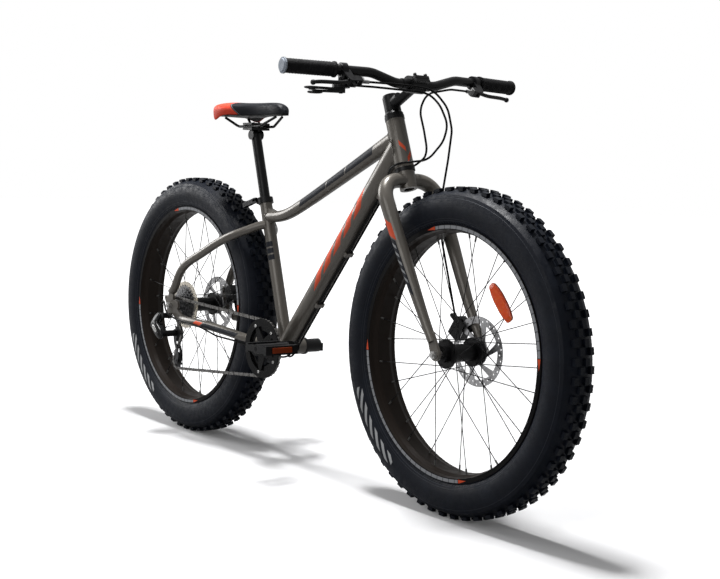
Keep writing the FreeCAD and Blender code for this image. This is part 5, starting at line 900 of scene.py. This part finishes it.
def cage_outline(steps=16):
    """Places round a waisted plate in the plane of the wheels, bolt to bolt."""
    way = (TENSION - GUIDE).normalized()
    across = Vector((way.z, 0, -way.x))
    length = (TENSION - GUIDE).length
    sides = {1: [], -1: []}
    for n in range(steps + 1):
        share = n / steps
        middle = GUIDE + way * length * share + across * SWING * math.sin(math.pi * 2 * share)
        width = WAIST + SHOULDER * abs(math.cos(math.pi * share)) ** 3
        for side, row in sides.items():
            row.append(middle + across * side * width)
    ends = []
    for centre, start in ((TENSION, 0), (GUIDE, math.pi)):
        turns = [start + math.pi * k / 8 for k in range(1, 8)]
        ends.append([centre + (across * math.cos(a) + way * math.sin(a)) * END_RADIUS for a in turns])
    return sides[1] + ends[0] + list(reversed(sides[-1])) + ends[1]


def cage_mesh():
    work = bmesh.new()
    outline = cage_outline()
    for base in PLATES:
        faces = (base, base + PLATE_THICK)
        closed_rings(work, [[work.verts.new((c.x, y, c.z)) for c in outline] for y in faces])
    for centre, end in BOLT_OUTER:
        length = BOLT_INNER - end
        place = Matrix.Translation((centre.x, end + length / 2, centre.z))
        place = place @ Matrix.Rotation(math.pi / 2, 4, "X")
        bmesh.ops.create_cone(
            work, cap_ends=True, segments=20, radius1=BOLT_RADIUS, radius2=BOLT_RADIUS,
            depth=length, matrix=place,
        )
    return finished("derailleur_cage_plates", work)


cage = linked("derailleur_cage_plates", cage_mesh(), dark_steel)
carried(cage, "derailleur_cage")
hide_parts("derailleur_cage")
shell(
    "derailleur_link_shell", (-0.5945, -0.1065, 0.3475), (-0.5945, -0.1335, 0.3045), (0.0135, 0.0085),
    enamel, "derailleur_outer_link",
)
shell(
    "derailleur_knuckle_shell", (-0.5895, -0.1335, 0.3215), (-0.5375, -0.1335, 0.2815), (0.0150, 0.0085),
    enamel, "derailleur_knuckle",
)
shell(
    "derailleur_trim_plate", (-0.5800, -0.1400, 0.3140), (-0.5560, -0.1400, 0.2955), (0.0060, 0.0038),
    steel, "derailleur_knuckle",
)
print("derailleur cage faces:", len(cage.data.polygons))

# %% [markdown]
# ## Thumb pads
# The two shift levers end in broad pads that the thumb pushes. They are the same rounded
# shells, each riding on its own lever.

# %% Thumb pads
shell(
    "thumb_pad_upper", (0.3485, -0.2450, 0.9460), (0.3360, -0.2820, 0.9460), (0.0034, 0.0100),
    moulded, "shift_lever_upper",
)
shell(
    "thumb_pad_lower", (0.3345, -0.2300, 0.9378), (0.3155, -0.2590, 0.9378), (0.0034, 0.0095),
    moulded, "shift_lever_lower",
)

# %% [markdown]
# ## Growing repeats with Geometry Nodes
# Bolts in a circle, ribs on a grip and the ripples of a weld are one shape many times over.
# Three small trees do them. Each has its sizes as named inputs and ends in Realize Instances
# and Set Material; `grow` sets the inputs, turns the result into a plain mesh and hands it to
# the body that carries it.

# %% Geometry Nodes helpers
def start_tree(name, inputs):
    tree = bpy.data.node_groups.new(name, "GeometryNodeTree")
    tree.interface.new_socket(name="Geometry", in_out="INPUT", socket_type="NodeSocketGeometry")
    for label, kind in inputs:
        tree.interface.new_socket(name=label, in_out="INPUT", socket_type="NodeSocket" + kind)
    tree.interface.new_socket(name="Geometry", in_out="OUTPUT", socket_type="NodeSocketGeometry")
    return tree, tree.nodes.new("NodeGroupInput").outputs


def tree_node(tree, kind, **values):
    node = tree.nodes.new("GeometryNode" + kind)
    for name, value in values.items():
        feed(tree, node.inputs[name.replace("_", " ")], value)
    return node


def end_tree(tree, instances, finish, turn=None, centre=None):
    shown = tree_node(tree, "RealizeInstances", Geometry=instances).outputs[0]
    if centre is not None:
        moved = tree_node(tree, "Transform", Geometry=shown, Rotation=turn, Translation=centre)
        shown = moved.outputs[0]
    shown = tree_node(tree, "SetMaterial", Geometry=shown, Material=finish).outputs[0]
    tree.links.new(shown, tree.nodes.new("NodeGroupOutput").inputs[0])
    return tree


def grow(name, tree, body, slot, base=None, **values):
    host = base or bpy.data.objects.new(name + "_host", bpy.data.meshes.new(name + "_host"))
    bpy.context.collection.objects.link(host)
    modifier = host.modifiers.new("grow", "NODES")
    modifier.node_group = tree
    for item in tree.interface.items_tree:
        key = item.name.replace(" ", "_")
        if item.item_type == "SOCKET" and item.in_out == "INPUT" and key in values:
            modifier[item.identifier] = values[key]
    mesh = bpy.data.meshes.new_from_object(host.evaluated_get(bpy.context.evaluated_depsgraph_get()))
    mesh.name = name
    bpy.data.objects.remove(host)
    print(name, "faces:", len(mesh.polygons))
    return carried(linked(name, mesh), body)

# %% [markdown]
# ### Bolts in a circle
# Six bolts hold each rotor and five hold the guard ring. The head is a small turned cap with
# a six-sided socket; a Mesh Circle gives the places.

# %% Bolt circles
def bolt_head(radius, height):
    """A cap with a bevelled rim and a hexagonal socket, standing on Z."""
    rings = ((radius, 0, 12), (radius, height * 0.75, 12), (radius * 0.85, height, 12))
    rings += ((radius * 0.52, height, 6), (radius * 0.50, height * 0.35, 6))
    work = bmesh.new()
    loops = []
    for size, level, sides in rings:
        each = 12 // sides
        turns = [math.pi * 2 * k / sides for k in range(sides)]
        corners = [work.verts.new((size * math.cos(a), size * math.sin(a), level)) for a in turns]
        loops.append([corners[k // each] for k in range(12)])
    for near, far in zip(loops, loops[1:]):
        for k in range(12):
            face = list(dict.fromkeys((near[k - 1], near[k], far[k], far[k - 1])))
            if len(face) > 2:
                work.faces.new(face)
    work.faces.new(list(dict.fromkeys(loops[-1])))
    work.faces.new(list(reversed(loops[0])))
    return bpy.data.objects.new("bolt_head", finished("bolt_head", work))


def bolt_circle():
    inputs = [("Count", "Int"), ("Radius", "Float"), ("First", "Vector"), ("Bolt", "Object")]
    inputs += [("Turn", "Vector"), ("Centre", "Vector"), ("Finish", "Material")]
    tree, given = start_tree("bolt_circle", inputs)
    circle = tree_node(tree, "MeshCircle", Vertices=given["Count"], Radius=given["Radius"])
    circle = tree_node(tree, "Transform", Geometry=circle.outputs[0], Rotation=given["First"])
    circle = circle.outputs[0]
    bolt = tree_node(tree, "ObjectInfo", Object=given["Bolt"]).outputs["Geometry"]
    placed = tree_node(tree, "InstanceOnPoints", Points=circle, Instance=bolt).outputs[0]
    return end_tree(tree, placed, given["Finish"], given["Turn"], given["Centre"])


BOLTS = bolt_circle()
small_bolt = bolt_head(0.0042, 0.0022)
TO_LEFT, TO_RIGHT = (-math.pi / 2, 0, 0), (math.pi / 2, 0, 0)
for name, body, axle in (("front_rotor", "front_wheel", FRONT_AXLE), ("rear_rotor", "rear_wheel", REAR_AXLE)):
    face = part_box(name)[1].y
    grow(
        name + "_bolts", BOLTS, body, "steel", Count=6, Radius=0.022, First=(0, 0, 0.3), Bolt=small_bolt,
        Turn=TO_LEFT, Centre=(axle[0], face, axle[2]), Finish=steel,
    )
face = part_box("chainring")[0].y
grow(
    "guard_ring_bolts", BOLTS, "crank", "steel", Count=5, Radius=0.0632, First=(0, 0, math.pi / 4),
    Bolt=small_bolt, Turn=TO_RIGHT, Centre=(CRANK_AXIS[0], face, CRANK_AXIS[2]), Finish=steel,
)


def loose_bolts(name, body, places, way, finish):
    """Bolt heads that aren't in a circle: one mesh with a head turned to way at each place."""
    work = bmesh.new()
    turn = Vector((0, 0, 1)).rotation_difference(Vector(way)).to_matrix().to_4x4()
    for place in places:
        known = len(work.verts)
        work.from_mesh(small_bolt.data)
        work.verts.ensure_lookup_table()
        bmesh.ops.transform(work, matrix=Matrix.Translation(place) @ turn, verts=work.verts[known:])
    carried(linked(name, finished(name, work), finish), body)


loose_bolts("cage_pivot_bolt", "derailleur_knuckle", [(-0.5495, -0.1412, 0.291)], (0, -1, 0), dark_steel)
bar_cap = [(0.39535, y, 0.9917) for y in (-0.01584, 0.01584)]
loose_bolts("bar_cap_bolts", "steering", bar_cap, (-0.4679, 0, 0.8838), steel)

# %% [markdown]
# ### Ribs on the grips
# Each grip is moulded with rings that the fingers close on. A Mesh Line along the grip gives
# the places and one thin ring is put on each.

# %% Grip ribs
def rib_row():
    inputs = [("Count", "Int"), ("Start", "Vector"), ("Step", "Vector"), ("Turn", "Rotation")]
    inputs += [("Ring", "Float"), ("Rib", "Float"), ("Finish", "Material")]
    tree, given = start_tree("rib_row", inputs)
    line = tree_node(
        tree, "MeshLine", Count=given["Count"],
        Start_Location=given["Start"], Offset=given["Step"],
    )
    hoop = tree_node(tree, "CurvePrimitiveCircle", Resolution=32, Radius=given["Ring"])
    section = tree_node(tree, "CurvePrimitiveCircle", Resolution=6, Radius=given["Rib"])
    rib = tree_node(tree, "CurveToMesh", Curve=hoop.outputs[0], Profile_Curve=section.outputs[0])
    placed = tree_node(
        tree, "InstanceOnPoints", Points=line.outputs[0], Instance=rib.outputs[0],
        Rotation=given["Turn"],
    )
    return end_tree(tree, placed.outputs[0], given["Finish"])


RIBS = rib_row()
SWEEP = math.radians(9)
RIB_COUNT, RIB_STEP, RIB_START = 15, 0.0068, 0.014
for name, side in (("right", -1), ("left", 1)):
    way = Vector((-math.sin(SWEEP), side * math.cos(SWEEP), 0))
    first = Vector((0.3596, side * 0.2176, 0.98795)) + way * RIB_START
    turn = Vector((0, 0, 1)).rotation_difference(way).to_euler()
    grow(
        "grip_ribs_" + name, RIBS, "steering", "rubber", Count=RIB_COUNT, Start=first,
        Step=way * RIB_STEP, Turn=turn, Ring=0.0156, Rib=0.0010, Finish=grip,
    )

# %% [markdown]
# ### Weld beads
# Where two tubes meet, the welder leaves a row of overlapping ripples. The line follows the
# cut of one round tube on another, which is worked out point by point; the tree walks along
# it and sets a flattened bead at every step.

# %% Weld beads
def fish_mouth(start, way, radius, post, post_way, post_radius, count=90):
    """The closed line where a tube's outside meets the outside of a round post."""
    start, post = Vector(start), Vector(post)
    way, post_way = Vector(way).normalized(), Vector(post_way).normalized()
    u = way.orthogonal().normalized()
    v = way.cross(u)
    loop = []
    for n in range(count):
        turn = 2 * math.pi * n / count
        edge = start + (u * math.cos(turn) + v * math.sin(turn)) * radius
        off = edge - post
        off -= post_way * off.dot(post_way)
        run = way - post_way * way.dot(post_way)
        half, size = off.dot(run), run.dot(run)
        inside = half ** 2 - size * (off.dot(off) - post_radius ** 2)
        loop.append(edge + way * ((-half - math.sqrt(max(inside, 0))) / size))
    return loop


def bead_row():
    inputs = [("Spacing", "Float"), ("Size", "Vector"), ("Finish", "Material")]
    tree, given = start_tree("bead_row", inputs)
    walk = tree.nodes.new("GeometryNodeResampleCurve")
    walk.mode = "LENGTH"
    feed(tree, walk.inputs["Curve"], given["Geometry"])
    feed(tree, walk.inputs["Length"], given["Spacing"])
    bead = tree_node(tree, "MeshIcoSphere", Radius=1.0, Subdivisions=2).outputs[0]
    tangent = tree.nodes.new("GeometryNodeInputTangent").outputs[0]
    turn = tree.nodes.new("FunctionNodeAlignRotationToVector")
    turn.axis = "X"
    feed(tree, turn.inputs["Vector"], tangent)
    placed = tree_node(
        tree, "InstanceOnPoints", Points=walk.outputs[0], Instance=bead,
        Rotation=turn.outputs[0], Scale=given["Size"],
    )
    return end_tree(tree, placed.outputs[0], given["Finish"])


BEADS = bead_row()
STEER_WAY, SEAT_WAY = (-0.350207, 0, 0.936672), (-0.299041, 0, 0.954240)
HEAD = ((0.353625, 0, 0.776599), STEER_WAY, 0.0225)
SHELL = (CRANK_AXIS, (0, 1, 0), 0.021)
SEAT = (CRANK_AXIS, SEAT_WAY, 0.0165)
WELDS = {
    "top_to_head": ((0.1651, 0, 0.7764), (0.1609, 0, 0.0748), 0.0196, *HEAD),
    "down_to_head": ((0.1145, 0, 0.5655), (0.43829, 0, 0.52899), 0.026, *HEAD),
    "seat_to_shell": ((-0.1943, 0, 0.5873), (0.299041, 0, -0.954240), 0.0165, *SHELL),
    "top_to_seat": ((-0.1565, 0, 0.6444), (-0.0537, 0, -0.0035), 0.0150, *SEAT),
}
for name, line in WELDS.items():
    data = bpy.data.curves.new(name, "CURVE")
    data.dimensions = "3D"
    spline = data.splines.new("POLY")
    loop = fish_mouth(*line)
    spline.points.add(len(loop) - 1)
    for point, place in zip(spline.points, loop):
        point.co = (*place, 1)
    spline.use_cyclic_u = True
    weld = bpy.data.objects.new(name, data)
    grow(
        "weld_" + name, BEADS, "frame", "frame_paint", base=weld, Spacing=0.0021,
        Size=(0.0015, 0.0022, 0.0020), Finish=plain_paint,
    )

# %% [markdown]
# ## Floor and light
# A pale studio: a wide floor, a soft key overhead that lays a narrow shadow under each wheel,
# a weak fill and a lamp at the back that draws the edges of the tubes. Through Light Path the
# floor and the sky look white to the camera and a third as bright in reflections, while the bike
# is lit at a plain level.

# %% Studio
def seen_directly(tree):
    """1 for rays from the camera and through glass, and a third for reflections."""
    path = tree.nodes.new("ShaderNodeLightPath").outputs
    mirrored = times(tree, path["Is Glossy Ray"], 0.35)
    shown = maths(tree, "MAXIMUM", path["Is Camera Ray"], mirrored)
    return maths(tree, "MAXIMUM", shown, path["Is Transmission Ray"])


def studio_floor():
    mesh = bpy.data.meshes.new("studio_floor")
    half = 30
    corners = [(-half, -half, 0), (half, -half, 0), (half, half, 0), (-half, half, 0)]
    mesh.from_pydata(corners, [], [(0, 1, 2, 3)])
    material, tree, shader, place = start_finish("pale_floor", Roughness=0.9, Specular_IOR_Level=0.0)
    floor = linked("studio_floor", mesh, material)
    shown = seen_directly(tree)
    colour = blended(tree, shown, (0.10, 0.10, 0.10, 1), (0.80, 0.80, 0.81, 1))
    tree.links.new(colour, shader.inputs["Base Color"])
    far = step(tree, vectors(tree, "LENGTH", place), 1.0, 5.0)
    glow = tree.nodes.new("ShaderNodeEmission")
    level = maths(tree, "MULTIPLY_ADD", far, 1.15, 0.05)
    tree.links.new(times(tree, shown, level), glow.inputs["Strength"])
    both = tree.nodes.new("ShaderNodeAddShader")
    tree.links.new(shader.outputs[0], both.inputs[0])
    tree.links.new(glow.outputs[0], both.inputs[1])
    tree.links.new(both.outputs[0], tree.nodes["Material Output"].inputs["Surface"])


def studio_sky(ambient):
    world = bpy.data.worlds.new("studio_sky")
    world.use_nodes = True
    tree = world.node_tree
    shader = tree.nodes["Background"]
    shader.inputs["Color"].default_value = (1, 1, 1, 1)
    lit = maths(tree, "MULTIPLY_ADD", seen_directly(tree), 1 - ambient, ambient)
    tree.links.new(lit, shader.inputs["Strength"])
    bpy.context.scene.world = world


def soft_lamp(name, place, aim, size, power):
    data = bpy.data.lights.new(name, "AREA")
    data.size = size
    data.energy = power
    lamp = bpy.data.objects.new(name, data)
    bpy.context.collection.objects.link(lamp)
    way = Vector(place) - Vector(aim)
    lamp.matrix_world = Matrix.Translation(place) @ way.to_track_quat("Z", "Y").to_matrix().to_4x4()


studio_floor()
studio_sky(0.12)
soft_lamp("key", (-0.40, -0.05, 3.9), (0, 0, 0.4), 0.8, 215)
soft_lamp("fill", (1.2, -3.2, 1.6), (0, 0, 0.5), 2.2, 30)
soft_lamp("edge", (-3.4, -1.4, 1.9), (0, 0, 0.6), 2.0, 80)
bpy.context.scene.view_settings.view_transform = "Standard"
